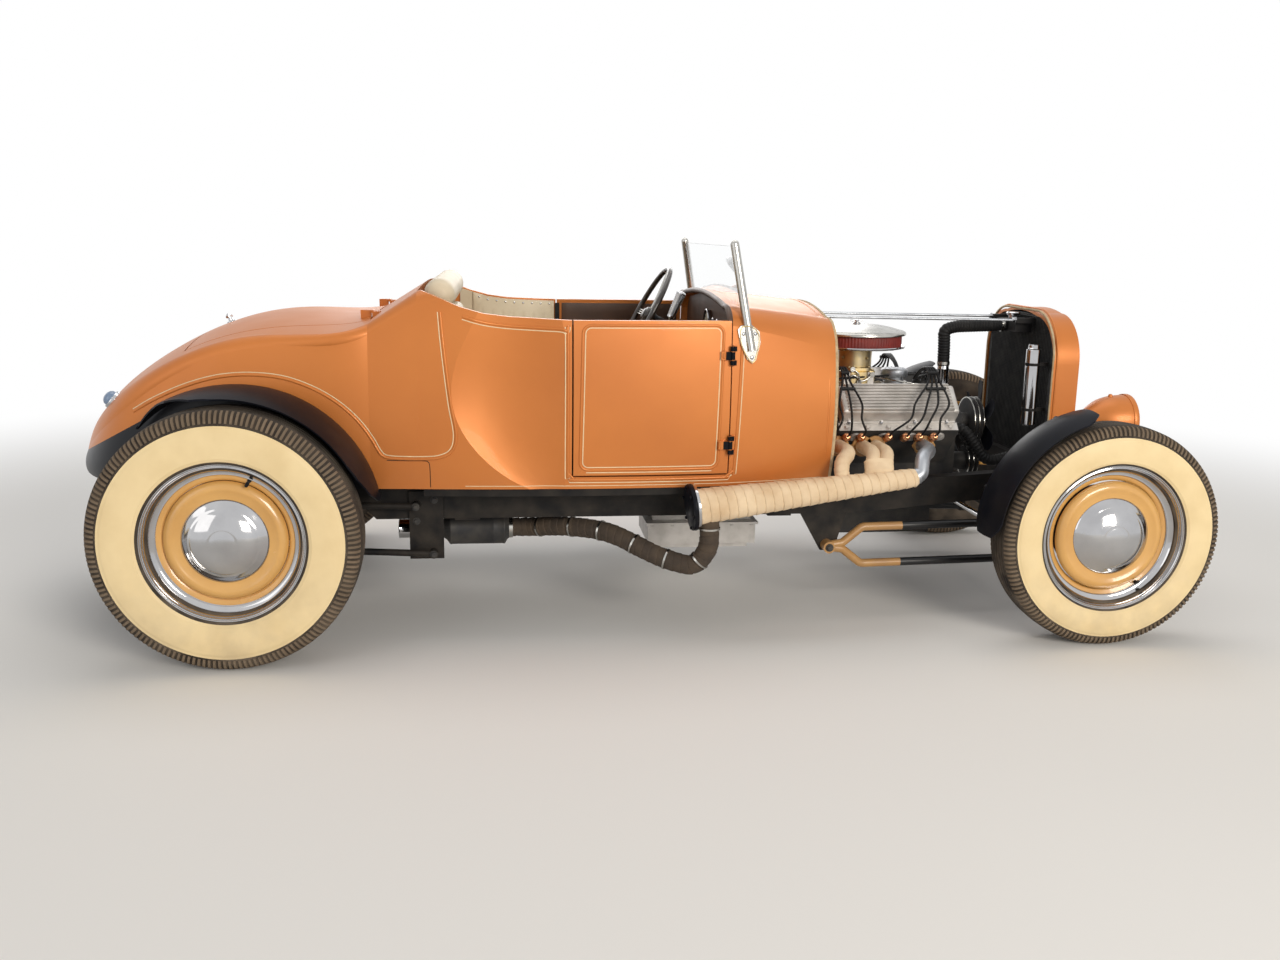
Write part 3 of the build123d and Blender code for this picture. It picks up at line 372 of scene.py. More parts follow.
def gridFaces(rows, cols, wrapRows=False, wrapCols=False, start=0):
    # Quads join each point of a grid to its neighbours along both directions.
    r, c = np.meshgrid(np.arange(rows if wrapRows else rows - 1), np.arange(cols if wrapCols else cols - 1),
        indexing="ij")
    r2, c2 = (r + 1) % rows, (c + 1) % cols
    return (np.stack([r * cols + c, r2 * cols + c, r2 * cols + c2, r * cols + c2], -1).reshape(-1, 4)
        + start).tolist()


def cleanMesh(mesh):
    # Merges doubles, dissolves faces without area and turns the normals outwards.
    shape = bmesh.new()
    shape.from_mesh(mesh)
    bmesh.ops.remove_doubles(shape, verts=shape.verts, dist=1e-06)
    bmesh.ops.dissolve_degenerate(shape, dist=1e-07, edges=shape.edges)
    bmesh.ops.recalc_face_normals(shape, faces=shape.faces)
    shape.to_mesh(mesh)
    shape.free()


def describe(piece, body, replaced):
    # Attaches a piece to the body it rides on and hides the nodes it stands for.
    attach(piece, body)
    if replaced:
        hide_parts(*replaced)
    return piece


def makePiece(name, parts, look, body="chassis", replaced=()):
    # A part is a grid of points, taken as a tube with capped ends, or (grid, wrapRows, wrapCols, material
    # number).
    materials = look if isinstance(look, list) else [look]
    points, faces, numbers = [], [], []
    for part in parts if isinstance(parts, list) else [parts]:
        whole, wrapRows, wrapCols, number = part if isinstance(part, tuple) else (part, False, True, 0)
        for grid in whole if np.ndim(whole) == 4 else [whole]:
            grid = np.asarray(grid, float)
            rows, cols = grid.shape[:2]
            start = sum((len(p) for p in points))
            new = gridFaces(rows, cols, wrapRows, wrapCols, start)
            if wrapCols and (not wrapRows):
                new.append(list(range(start, start + cols)))
                new.append(list(range(start + (rows - 1) * cols, start + rows * cols)))
            points.append(grid.reshape(-1, 3))
            faces += new
            numbers += [number] * len(new)
    mesh = bpy.data.meshes.new(name)
    mesh.from_pydata(np.concatenate(points).tolist(), [], faces)
    for material in materials:
        mesh.materials.append(looks[material])
    mesh.polygons.foreach_set("material_index", numbers)
    cleanMesh(mesh)
    mesh.shade_smooth()
    mesh.set_sharp_from_angle(angle=math.radians(sharpAngle))
    piece = bpy.data.objects.new(name, mesh)
    bpy.context.scene.collection.objects.link(piece)
    return describe(piece, body, replaced)


def turned(profile, centre, axis=(0, 1, 0), steps=96):
    # Each (along, radius) of a profile goes round an axis: centre + along * axis + radius * direction.
    axis = unit(axis)
    first = unit(np.cross(axis, (0.3, 0.1, 1.0)))
    second = np.cross(axis, first)
    angle = around(steps)[:, None]
    ring = np.cos(angle) * first + np.sin(angle) * second
    along, radius = np.asarray(profile, float).T
    return np.asarray(centre, float) + along[None, :, None] * axis + radius[None, :, None] * ring[:, None, :]


def around(count, start=0.0):
    # Even angles once round.
    return np.linspace(start, start + turn, count, endpoint=False)


def spun(profile, place, axis=(0, 1, 0), steps=96):
    # A solid whose profile starts and ends on the axis.
    return turned(profile, place, axis, steps), True, False, 0


def hoop(profile, place, axis=(0, 1, 0), steps=96):
    # A ring whose profile closes on itself.
    return turned(profile, place, axis, steps), True, True, 0


def disc(low, high, radius):
    # The profile of a plain disc.
    return [(low, 0), (low, radius), (high, radius), (high, 0)]


def dome(low, height, radius, count):
    # The profile of a quarter oval on a short shaft.
    bend = np.linspace(0, math.pi / 2, count)
    return [(low, 0), (low, radius)] + [(height * math.sin(a), radius * math.cos(a)) for a in bend]


def smoothPath(points, count):
    # A Catmull-Rom curve through the points, with its samples spread evenly over its length.
    p = np.array(points, float)
    p = np.vstack([2 * p[0] - p[1], p, 2 * p[-1] - p[-2]])
    fine = np.linspace(0, len(points) - 1, 60 * len(points))
    i = np.minimum(fine.astype(int), len(points) - 2)
    t = (fine - i)[:, None]
    a, b, c, d = p[i], p[i + 1], p[i + 2], p[i + 3]
    return spread(0.5 * (2 * b + (c - a) * t + (2 * a - 5 * b + 4 * c - d) * t ** 2
        + (3 * b - a - 3 * c + d) * t ** 3), count)


def distances(path):
    # How far along the path each point lies: the running sum of the steps' lengths.
    return np.concatenate([[0], np.cumsum(np.linalg.norm(np.diff(path, axis=0), axis=1))])


def spread(curve, count):
    # The same line with count samples at even distances.
    curve = np.asarray(curve, float)
    length = distances(curve)
    want = np.linspace(0, length[-1], count)
    return np.stack([np.interp(want, length, curve[:, k]) for k in range(curve.shape[1])], -1)


def bentPath(points, bend, count):
    # Straight runs whose corners are replaced by parabolas that start a bend's length before each corner.
    p = np.array(points, float)
    t = np.linspace(0, 1, 14)[:, None]
    line = [p[:1]]
    for a, b, c in zip(p, p[1:], p[2:]):
        reach = min(bend, 0.45 * np.linalg.norm(b - a), 0.45 * np.linalg.norm(c - b))
        start, end = b + unit(a - b) * reach, b + unit(c - b) * reach
        line.append((1 - t) ** 2 * start + 2 * t * (1 - t) * b + t ** 2 * end)
    return spread(np.vstack(line + [p[-1:]]), count)


def tube(path, radius, sides=16, up=(0, 0, 1), squash=1.0):
    # Circles square to the path: path + radius * (cos * across + sin * lift).
    path = np.asarray(path, float)
    ahead = unit(np.gradient(path, axis=0))
    across = unit(np.cross(ahead, up))
    lift = np.cross(across, ahead)
    angle = around(sides)
    radius = np.broadcast_to(np.asarray(radius, float).reshape(len(np.atleast_1d(radius)), -1), (len(path), sides))
    return path[:, None] + radius[..., None] * (np.cos(angle)[None, :, None] * across[:, None]
        + squash * np.sin(angle)[None, :, None] * lift[:, None])


def rodGrid(start, end, radius, sides=16):
    # A straight tube between two points.
    start, end = np.array(start, float), np.array(end, float)
    along = unit(end - start)
    up = (1, 0, 0) if abs(along[2]) > 0.8 else (0, 0, 1)
    return tube(np.linspace(start, end, 2), radius, sides, up)


def arcThrough(a, b, c, count):
    # The circle through three points in a plane, from a by way of b to c.
    a, b, c = (np.array(p, float) for p in (a, b, c))
    m = np.array([b - a, c - a])
    centre = np.linalg.solve(2 * m, (np.array([b, c]) ** 2).sum(1) - (a ** 2).sum())
    start, way, end = (math.atan2(*(p - centre)[::-1]) for p in (a, b, c))
    while way < start:
        way += turn
    while end < start:
        end += turn
    if way > end:
        end -= turn
    angle = np.linspace(start, end, count)
    return centre + np.linalg.norm(a - centre) * np.stack([np.cos(angle), np.sin(angle)], -1)


def upright(x, line):
    # An outline of (y, z) points, stood up at x.
    return np.column_stack([np.full(len(line), x), line])


def outOf(line):
    # The unit way out of an upright outline round the engine's middle.
    out = unit(np.stack([-np.gradient(line[:, 1]), np.gradient(line[:, 0])], -1))
    return out * np.sign((out * (line - (0, 0.7))).sum(1, keepdims=True))


def slab(face, back):
    # A plate between two grids of points.
    return np.concatenate([face, back[:, ::-1]], 1)


def roundOutline(x0, x1, y0, y1, r, steps):
    # A rectangle whose corners are quarter circles.
    line = []
    for x, y, quarter in ((x1 - r, y1 - r, 0), (x0 + r, y1 - r, 1), (x0 + r, y0 + r, 2), (x1 - r, y0 + r, 3)):
        angle = np.linspace(quarter, quarter + 1, steps) * math.pi / 2
        line.append(np.stack([x + r * np.cos(angle), y + r * np.sin(angle)], -1))
    return np.vstack(line)


def boltHead(place, axis, radius, height):
    # A hexagonal head with a chamfered crown on a thin washer.
    profile = [(0, 0), (0, radius * 1.35), (height * 0.2, radius * 1.35), (height * 0.2, radius),
        (height * 0.85, radius), (height, radius * 0.8), (height, 0)]
    return spun(profile, place, axis, 6)


# Tyres
tyres = {
    "rear": dict(x=-1.245, y=0.72, r=0.39, half=0.0945, white=0.346, lugs=156),
    "front": dict(x=1.475, y=0.712, r=0.36, half=0.082, white=0.3235, lugs=144),
}
tyreOuter = mm([(58, 214), (68, 226), (76, 234.5), (83, 242), (86.5, 247), (87.2, 249.5), (88.8, 251), (90.5, 262),
    (93.5, 280), (94.5, 298), (93.8, 316), (91.5, 332), (90.5, 336.5), (89.7, 337.5), (89, 341.5), (88.5, 346),
    (86.5, 347), (86, 351.5), (81.5, 354), (78, 364), (72.5, 373.5), (67, 379), (60, 382.5), (56, 386.8),
    (52, 387.8), (46, 388.2), (45, 382.5), (42, 382.5), (41, 388.6), (25, 389.3), (24, 383), (21, 383), (20, 389.6),
    (4, 390), (3, 383.5)])
whiteRows = 3, 15  # first and last row of the pale wall in the profile
# Rows of a lug: along, radius, lean of the way out in degrees
lugRows = [(0.0862, 0.353, 20), (0.0838, 0.3625, 28), (0.0788, 0.373, 44), (0.0725, 0.38, 58), (0.064, 0.3845, 70),
    (0.057, 0.3862, 80)]
lugSize = dict(base=0.0042, top=0.0034, depth=0.0062)


def fitTyre(rows, r, half, white):
    # Scales a profile of the rear tyre to another width, radius and pale wall.
    along, radius = np.array(rows, float)[:, :2].T
    fitted = np.interp(radius, [0.214, 0.234, 0.346, 0.39], [0.214, 0.234, white, r])
    return along * half / 0.0945, fitted


def makeTyre(where, side):
    # Rows of a profile go round the axle; each lug is a short bar laid over the shoulder's rows.
    spec, way = tyres[where], sides[side]
    fit = {key: spec[key] for key in ("r", "half", "white")}
    along, radius = fitTyre(tyreOuter, **fit)
    along, radius = np.append(along, -along[::-1]), np.append(radius, radius[::-1])
    centre = spec["x"], way * spec["y"], spec["r"]
    grid = turned(np.stack([along, radius], -1), centre, (0, way, 0), 192)
    first, last = whiteRows
    parts = [(grid[:, first:last + 1], True, False, 1), (grid[:, last:], True, False, 0),
        (np.concatenate([grid[:, -1:], grid[:, :first + 1]], 1), True, False, 0)]
    along, radius = fitTyre(lugRows, **fit)
    lean = np.radians([row[2] for row in lugRows])
    mid = around(spec["lugs"])[:, None, None]
    base, top, depth = lugSize["base"], lugSize["top"], lugSize["depth"]
    across = np.array([-base, -top, top, base])[None, None]
    deep = np.array([depth, 0, 0, depth])[None, None]
    for face in (1, -1):
        reach = radius[None, :, None] - deep * np.sin(lean)[None, :, None]
        out = face * (along[None, :, None] - deep * np.cos(lean)[None, :, None])
        angle = mid + across / radius[None, :, None]
        angle, reach, out = np.broadcast_arrays(angle, reach, out)
        lugs = np.stack([centre[0] + reach * np.cos(angle), centre[1] + way * out,
            centre[2] + reach * np.sin(angle)], -1)
        parts.append((lugs, False, True, 2))
    name = where + "_" + side
    makePiece("tyreRubber_" + name, parts, ["tyre", "white_wall", "tread_dust"], body="wheel_" + name,
        replaced=["tyre_" + name])


# Wheels
wheelSpec = {"rear": dict(rim=0.0684, stem=67.0), "front": dict(rim=0.0594, stem=-55.0)}
discProfile = mm([(20, 30), (36, 100), (43.5, 118), (44.5, 128), (44.5, 146), (47.5, 150), (48.5, 156), (47, 162),
    (43, 170), (37, 175.5), (29, 177.5), (26, 176.5), (27, 160), (20, 110), (14, 30)])
capProfile = mm([(88, 0), (87.6, 12), (86.8, 24), (85, 36), (83.8, 40), (84.2, 42.5), (83.5, 45.5), (81.5, 56),
    (77.5, 70), (71.5, 84), (65, 95.5), (62.5, 98.5), (62, 101), (60, 103.5), (54.5, 112), (50, 119), (46.5, 124),
    (44.5, 125), (43, 123.5), (44, 110), (44, 0)])


drumProfile = mm([(18, 19), (18, 130), (12, 146), (-4, 149), (-10, 153.5), (-16, 149), (-21, 149), (-24, 153.5),
    (-28, 149), (-34, 149), (-38, 153.5), (-43, 151), (-43, 140), (4, 134), (6, 19)])


def makeWheel(where, side):
    # Disc, ringed bright rim, domed cap, barrel, drum and valve stem, each a profile round the axle.
    spec, way = tyres[where], sides[side]
    name, e = where + "_" + side, wheelSpec[where]["rim"]
    body = "wheel_" + name
    centre, axis = np.array((spec["x"], way * spec["y"], spec["r"])), (0, way, 0)

    def add(kind, parts, look, replaced=()):
        # One piece of this wheel.
        makePiece(kind + "_" + name, parts, look, body=body, replaced=replaced)

    add("wheelDisc", hoop(discProfile, centre, axis, 128), "wheel_tan", [body])
    trim = [(e + 0.002, 0.2365), (e + 0.0075, 0.2358), (e + 0.0092, 0.234), (e + 0.0088, 0.2318),
        (e + 0.0052, 0.2305), (e + 0.0042, 0.229), (e + 0.0048, 0.2268), (e + 0.0015, 0.2252), (e - 0.001, 0.2242),
        (e - 0.0005, 0.2225), (e - 0.0045, 0.2205), (e - 0.012, 0.218), (e - 0.0195, 0.2135), (e - 0.0255, 0.207),
        (e - 0.029, 0.2), (e - 0.0285, 0.1975), (e - 0.03, 0.196), (e - 0.0325, 0.1975), (e - 0.03, 0.206),
        (e - 0.022, 0.217), (e - 0.008, 0.224)]
    add("wheelTrimRing", hoop(trim, centre, axis, 128), "chrome")
    barrel = [(e + 0.001, 0.2335), (e - 0.01, 0.2265), (e - 0.027, 0.212), (e - 0.0335, 0.198), (e - 0.035, 0.187),
        (e - 0.0385, 0.1815), (0.014, 0.18), (-0.016, 0.186), (0.034 - e, 0.201), (0.026 - e, 0.215),
        (0.006 - e, 0.2275), (-e - 0.001, 0.2335), (-e - 0.006, 0.233), (-e - 0.006, 0.228), (-e + 0.004, 0.218),
        (-e + 0.022, 0.2085), (-e + 0.03, 0.1965), (-0.016, 0.18), (0.01, 0.176), (e - 0.042, 0.1785),
        (e - 0.0385, 0.188), (e - 0.036, 0.2), (e - 0.03, 0.212), (e - 0.012, 0.224)]
    add("wheelBarrel", hoop(barrel, centre, axis, 128), "wheel_tan")
    add("wheelCap", spun(capProfile, centre, axis, 128), "chrome")
    nuts = [boltHead(centre + (0.062 * math.cos(a), way * 0.018, 0.062 * math.sin(a)), axis, 0.01, 0.012)
        for a in around(5)]
    add("brakeDrum", [hoop(drumProfile, centre, axis, 128)] + nuts, "engine_iron")
    lean = math.radians(wheelSpec[where]["stem"])
    out = np.array([math.cos(lean), 0, math.sin(lean)])
    root = centre + out * 0.196 + (0, way * (e - 0.04), 0)
    tip = centre + out * 0.182 + (0, way * (e - 0.004), 0)
    radii = np.array([0.0065, 0.0065, 0.006, 0.0045, 0.004, 0.0055, 0.0055, 0.0052, 0.0045])
    add("valveStem", tube(np.linspace(root, tip, 9), radii[:, None], 14, (1, 0.2, 0)), "hose_rubber")


# Body lines, laid on the skin by rays
def skinTree(nodes):
    # One search tree over the outer skins that the rays meet.
    points, faces = [], []
    for node in nodes:
        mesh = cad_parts[node].data
        mesh.calc_loop_triangles()
        start = len(points)
        points += [v.co.copy() for v in mesh.vertices]
        faces += [[start + i for i in t.vertices] for t in mesh.loop_triangles]
    return BVHTree.FromPolygons(points, faces)


def meet(tree, start, way):
    # Where a ray first meets the skin.
    return tree.ray_cast(Vector(start), Vector(way))[0]


def onSide(tree, line, side):
    # Where level rays from beside the car meet the skin, with the way out of it; missed rays are dropped.
    hits = [tree.ray_cast(Vector((x, side * 1.0, z)), Vector((0, -side, 0))) for x, z in line]
    hits = [(tuple(h[0]), tuple(h[1] if h[1].y * side > 0 else -h[1])) for h in hits if h[0] is not None]
    return np.array([h[0] for h in hits]), np.array([h[1] for h in hits])


beadSection = [(-1.0, -0.25), (-0.86, 0.45), (-0.5, 0.88), (0.0, 1.0), (0.5, 0.88), (0.86, 0.45), (1.0, -0.25)]


def strip(points, normals, width, height, section=beadSection, shift=0.0, closed=False):
    # A section carried along the line: point + across * width / 2 + normal * height.
    if closed:
        points = np.vstack([points[-1:], points, points[:1]])
        normals = np.vstack([normals[-1:], normals, normals[:1]])
    ahead = unit(np.gradient(points, axis=0))
    smooth = unit(normals)
    across = unit(np.cross(smooth, ahead))
    shape = np.asarray(section, float)
    wide = across[:, None] * (shape[None, :, :1] * width / 2 + shift)
    grid = points[:, None] + wide + smooth[:, None] * shape[None, :, 1:] * height
    return grid[1:-1] if closed else grid


def laid(tree, line, side, width, height, shift=0.0, closed=False):
    # A strip on the skin along a line seen from the side; a closed line gives a ring.
    grid = strip(*onSide(tree, line, side), width, height, shift=shift, closed=closed)
    return (grid, True, True, 0) if closed else grid


def roundedBox(x0, x1, z0, z1, r, count, lean=0.0):
    # A rectangle with round corners, leaning forward as it rises.
    line = roundOutline(x0, x1, z0, z1, r, 9)
    line = spread(np.vstack([line, line[:1]]), count + 1)[:-1]
    line[:, 0] += (line[:, 1] - z0) * lean
    return line


# Width and height of beads and fine stripes, the door's outline, and lines of (x, z) points
bodyLines = {
    "bead": (0.009, 0.0035),
    "fine": (0.003, 0.0006),
    "door": dict(box=(-0.204, 0.238, 0.551, 1.004), r=0.026, lean=0.02, step=0.0085, low=0.0085),
    "quarterBead": mm([(-628, 1040), (-622, 960), (-612, 863), (-600, 760), (-588, 690), (-586, 655), (-592, 625),
        (-608, 604), (-634, 592), (-665, 587), (-740, 586), (-800, 590), (-822, 606), (-846, 650), (-885, 705),
        (-940, 757), (-1010, 800), (-1100, 832), (-1200, 842), (-1300, 834), (-1400, 806), (-1500, 762),
        (-1570, 722)]),
    "openingBead": mm([(-560, 1026), (-494, 1008), (-420, 998), (-320, 993), (-262, 991), (-246, 984), (-241, 968),
        (-241, 560), (-237, 540), (-222, 523.5), (-200, 519), (235, 519), (266, 524), (288, 540), (293, 560),
        (306, 930), (307, 945)]),
    "sillStripe": [(-0.56, 0.5), (0.6, 0.5)],
}


def makeBodyLines():
    # Beads stand on the skin and thin stripes run beside them.
    skin = skinTree(["cowl", "tub", "tail_shell"])
    bead, fine, door = (bodyLines[key] for key in ("bead", "fine", "door"))
    x0, x1, z0, z1 = door["box"]
    for side, way in sides.items():
        leaf = skinTree(["door_" + side])
        edge = roundedBox(x0, x1, z0, z1, door["r"], 260, door["lean"])
        makePiece("doorBead_" + side, laid(leaf, edge, way, *bead, closed=True), "body_paint", body="door_" + side)
        step, low = door["step"], z0 - door["low"]
        inner = roundedBox(x0 + step, x1 - step, z0 + step, z1 - step, door["r"] - step, 260, door["lean"])
        sill = spread([(x0 + 0.02, low), (x1 - 0.02, low)], 120)
        makePiece("doorStripes_" + side, [laid(leaf, inner, way, 0.0032, 0.0006, closed=True),
            laid(leaf, sill, way, 0.0032, 0.0006)], "pin_stripe", body="door_" + side)
        lines = [smoothPath(bodyLines[key], steps) for key, steps in (("quarterBead", 160), ("openingBead", 420))]
        makePiece("bodyBeads_" + side, [laid(skin, line, way, *bead) for line in lines], "body_paint")
        thin = [laid(skin, line, way, *fine, shift=way * 0.0085) for line in lines]
        thin.append(laid(skin, spread(bodyLines["sillStripe"], 160), way, 0.0022, 0.0005))
        makePiece("bodyStripes_" + side, thin, "pin_stripe")


def frontEdge(count):
    # The cowl's front outline, from its section's arcs: side, shoulder, crown and back down.
    half = np.vstack([arcThrough((-0.446, 0.49), (-0.491, 0.66), (-0.466, 0.915), 40),
        arcThrough((-0.466, 0.915), (-0.4262, 0.9836), (-0.33, 1.012), 24)[1:],
        arcThrough((-0.33, 1.012), (0.0, 1.05), (0.33, 1.012), 60)[1:]])
    return spread(np.vstack([half, half[:64][::-1] * (-1, 1)]), count)


def makeEdgeTrims():
    # Bead, stripe and lacing round the cowl's front edge.
    edge = frontEdge(300)
    out = outOf(edge)
    normals = upright(0.0, out)
    for name, x, proud, width, height, look, slot in (
            ("cowlBead", 0.608, 0.0035, 0.01, 0.004, "body_paint", None),
            ("cowlStripe", 0.618, 0.0028, 0.003, 0.0006, "pin_stripe", "upholstery"),
            ("cowlLacing", 0.634, 0.0008, 0.012, 0.0035, "lacing", "header_wrap")):
        makePiece(name, strip(upright(x, edge + out * proud), normals, width, height), look)


# Padded seat and trim
seat = {
    "cushion": dict(x=(-0.552, -0.078), half=0.472, z=(0.498, 0.628), pleat=0.052, deep=0.007),
    "back": dict(z=(0.5, 1.03), half=0.462, pleat=0.052, deep=0.006),
    "roll": dict(x=-0.635, z=1.085, r=0.05, half=0.398, cap=0.046),
    "voxel": 0.01,
    "pressure": 4.0,
    "cap": 0.007,
    "frames": 20,
}


def readPoints(mesh, kind="co"):
    # The mesh's points, or its normals, one to a row.
    flat = np.empty(len(mesh.vertices) * 3)
    mesh.vertices.foreach_get(kind, flat)
    return flat.reshape(-1, 3)


def applied(piece):
    # The mesh as its modifiers leave it, in place of them.
    graph = bpy.context.evaluated_depsgraph_get()
    mesh = bpy.data.meshes.new_from_object(piece.evaluated_get(graph))
    piece.modifiers.clear()
    piece.data = mesh


def padPiece(name, grid, replaced, seams):
    # Even cells first, then air pressure as cloth with a cap on how far a point moves, then the seams.
    mesh = bpy.data.meshes.new(name)
    mesh.from_pydata(grid.reshape(-1, 3).tolist(), [], gridFaces(*grid.shape[:2], True, False))
    cleanMesh(mesh)
    piece = bpy.data.objects.new(name, mesh)
    bpy.context.scene.collection.objects.link(piece)
    remesh = piece.modifiers.new("cells", "REMESH")
    remesh.mode = "VOXEL"
    remesh.voxel_size = seat["voxel"]
    applied(piece)
    rest = readPoints(piece.data)
    cloth = piece.modifiers.new("air", "CLOTH")
    cloth.settings.use_pressure = True
    cloth.settings.uniform_pressure_force = seat["pressure"]
    cloth.settings.effector_weights.gravity = 0
    cloth.settings.quality = 5
    scene = bpy.context.scene
    for step in range(1, seat["frames"] + 1):
        scene.frame_set(step)
    applied(piece)
    scene.frame_set(1)
    move = readPoints(piece.data) - rest
    length = np.maximum(np.linalg.norm(move, axis=1, keepdims=True), 1e-09)
    move *= np.minimum(1.0, seat["cap"] / length)
    piece.data.vertices.foreach_set("co", (rest + move).ravel())
    piece.data.update()
    points, normals = readPoints(piece.data), readPoints(piece.data, "normal")
    piece.data.vertices.foreach_set("co", (points - normals * seams(points, normals)[:, None]).ravel())
    piece.data.update()
    piece.data.shade_smooth()
    piece.data.materials.clear()
    piece.data.materials.append(looks["upholstery"])
    smooth = piece.modifiers.new("smooth", "SUBSURF")
    smooth.levels = smooth.render_levels = 1
    describe(piece, "chassis", replaced)


def groove(value, pitch, width):
    # A row of narrow valleys, one at each multiple of the pitch.
    off = (value / pitch + 0.5) % 1.0 - 0.5
    return np.exp(-(off * pitch / width) ** 2)


def pillow(rows, cols, ends, power):
    # Shares of the half sizes: rows go round a squared oval, sign(c) * |c| ** power, and its ends draw in.
    angle = np.linspace(0, turn, rows, endpoint=False)[:, None]
    along = np.linspace(-1, 1, cols)[None, :]
    along = np.sign(along) * (1 - (1 - np.abs(along)) ** 1.6)
    close = (1 - np.abs(along) ** ends) ** (1 / ends)
    c, s = np.cos(angle), np.sin(angle)
    return np.sign(c) * np.abs(c) ** power * close, np.sign(s) * np.abs(s) ** power * close, along + 0 * angle


def makeSeat():
    # Cushion, back and roll, each a pillow whose pleats and welts are sunk along its normals.
    cushion, back, roll = seat["cushion"], seat["back"], seat["roll"]
    (x0, x1), (z0, z1) = cushion["x"], cushion["z"]
    across, up, along = pillow(64, 60, 7.0, 2 / 7.0)
    x, y = (x0 + x1) / 2 + (x1 - x0) / 2 * across, cushion["half"] * along
    # an even gap over the round shaft tunnel, which narrows rearwards
    share = np.clip((0.08 - x) / 0.68, 0, 1)
    radius, middle = 0.1445 - 0.0865 * share, 0.461 - 0.036 * share
    rise = middle + np.sqrt(np.maximum(radius ** 2 - y ** 2, 0))
    low = np.maximum(z0, np.where(np.abs(y) < radius, rise + 0.006, 0))
    grid = np.stack([x, y, (low + z1) / 2 + (z1 - low) / 2 * up], -1)

    def cushionSeams(points, normals):
        # Depth: pleats and a sunk border on the top, and a welt round the sides.
        top = np.clip(normals[:, 2], 0, 1)
        inside = (np.abs(points[:, 1]) < 0.4) & (np.abs(points[:, 0] + 0.315) < 0.185)
        edge = (np.exp(-((np.abs(points[:, 1]) - 0.405) / 0.006) ** 2)
            + np.exp(-((np.abs(points[:, 0] + 0.315) - 0.19) / 0.006) ** 2))
        welt = np.exp(-((points[:, 2] - 0.585) / 0.005) ** 2) * (np.abs(normals[:, 2]) < 0.6)
        pleats = cushion["deep"] * groove(points[:, 1] + 0.026, cushion["pleat"], 0.007) * inside
        return (pleats + 0.004 * np.clip(edge, 0, 1) - 0.004) * top - 0.003 * welt

    padPiece("seatCushion", grid, ["seat_cushion"], cushionSeams)
    z0, z1 = back["z"]
    across, up, along = pillow(56, 60, 7, 0.3)
    z = (z0 + z1) / 2 + (z1 - z0) / 2 * up
    front, rear = -0.57 - 0.013 * np.clip((z - 0.66) / 0.4, 0, 1), -0.69
    grid = np.stack([(front + rear) / 2 + (front - rear) / 2 * across, back["half"] * along, z], -1)

    def backSeams(points, normals):
        # Depth: pleats on the front, up to the roll.
        ahead = np.clip(normals[:, 0], 0, 1)
        inside = (np.abs(points[:, 1]) < 0.4) & (points[:, 2] < 0.99)
        return back["deep"] * groove(points[:, 1] + 0.026, back["pleat"], 0.007) * ahead * inside - 0.003 * ahead

    padPiece("seatBackPad", grid, ["seat_back"], backSeams)
    bend = np.linspace(0, math.pi / 2, 10)
    end = np.stack([roll["half"] + roll["cap"] * np.sin(bend), roll["r"] * np.cos(bend)], -1)
    profile = spread(np.vstack([end[::-1] * (-1, 1), end]), 70)
    grid = turned(profile, (roll["x"], 0, roll["z"]), (0, 1, 0), 40)
    padPiece("seatRoll", grid, [],
        lambda points, normals: 0.0025 * np.exp(-((np.abs(points[:, 1]) - 0.4) / 0.004) ** 2))


trimPanel = dict(top=mm([(-553, 1045.5), (-494, 1029), (-420, 1020), (-310, 1015), (-236, 1012)]), low=0.502,
    thick=0.011, pleat=0.04, tacks=9)


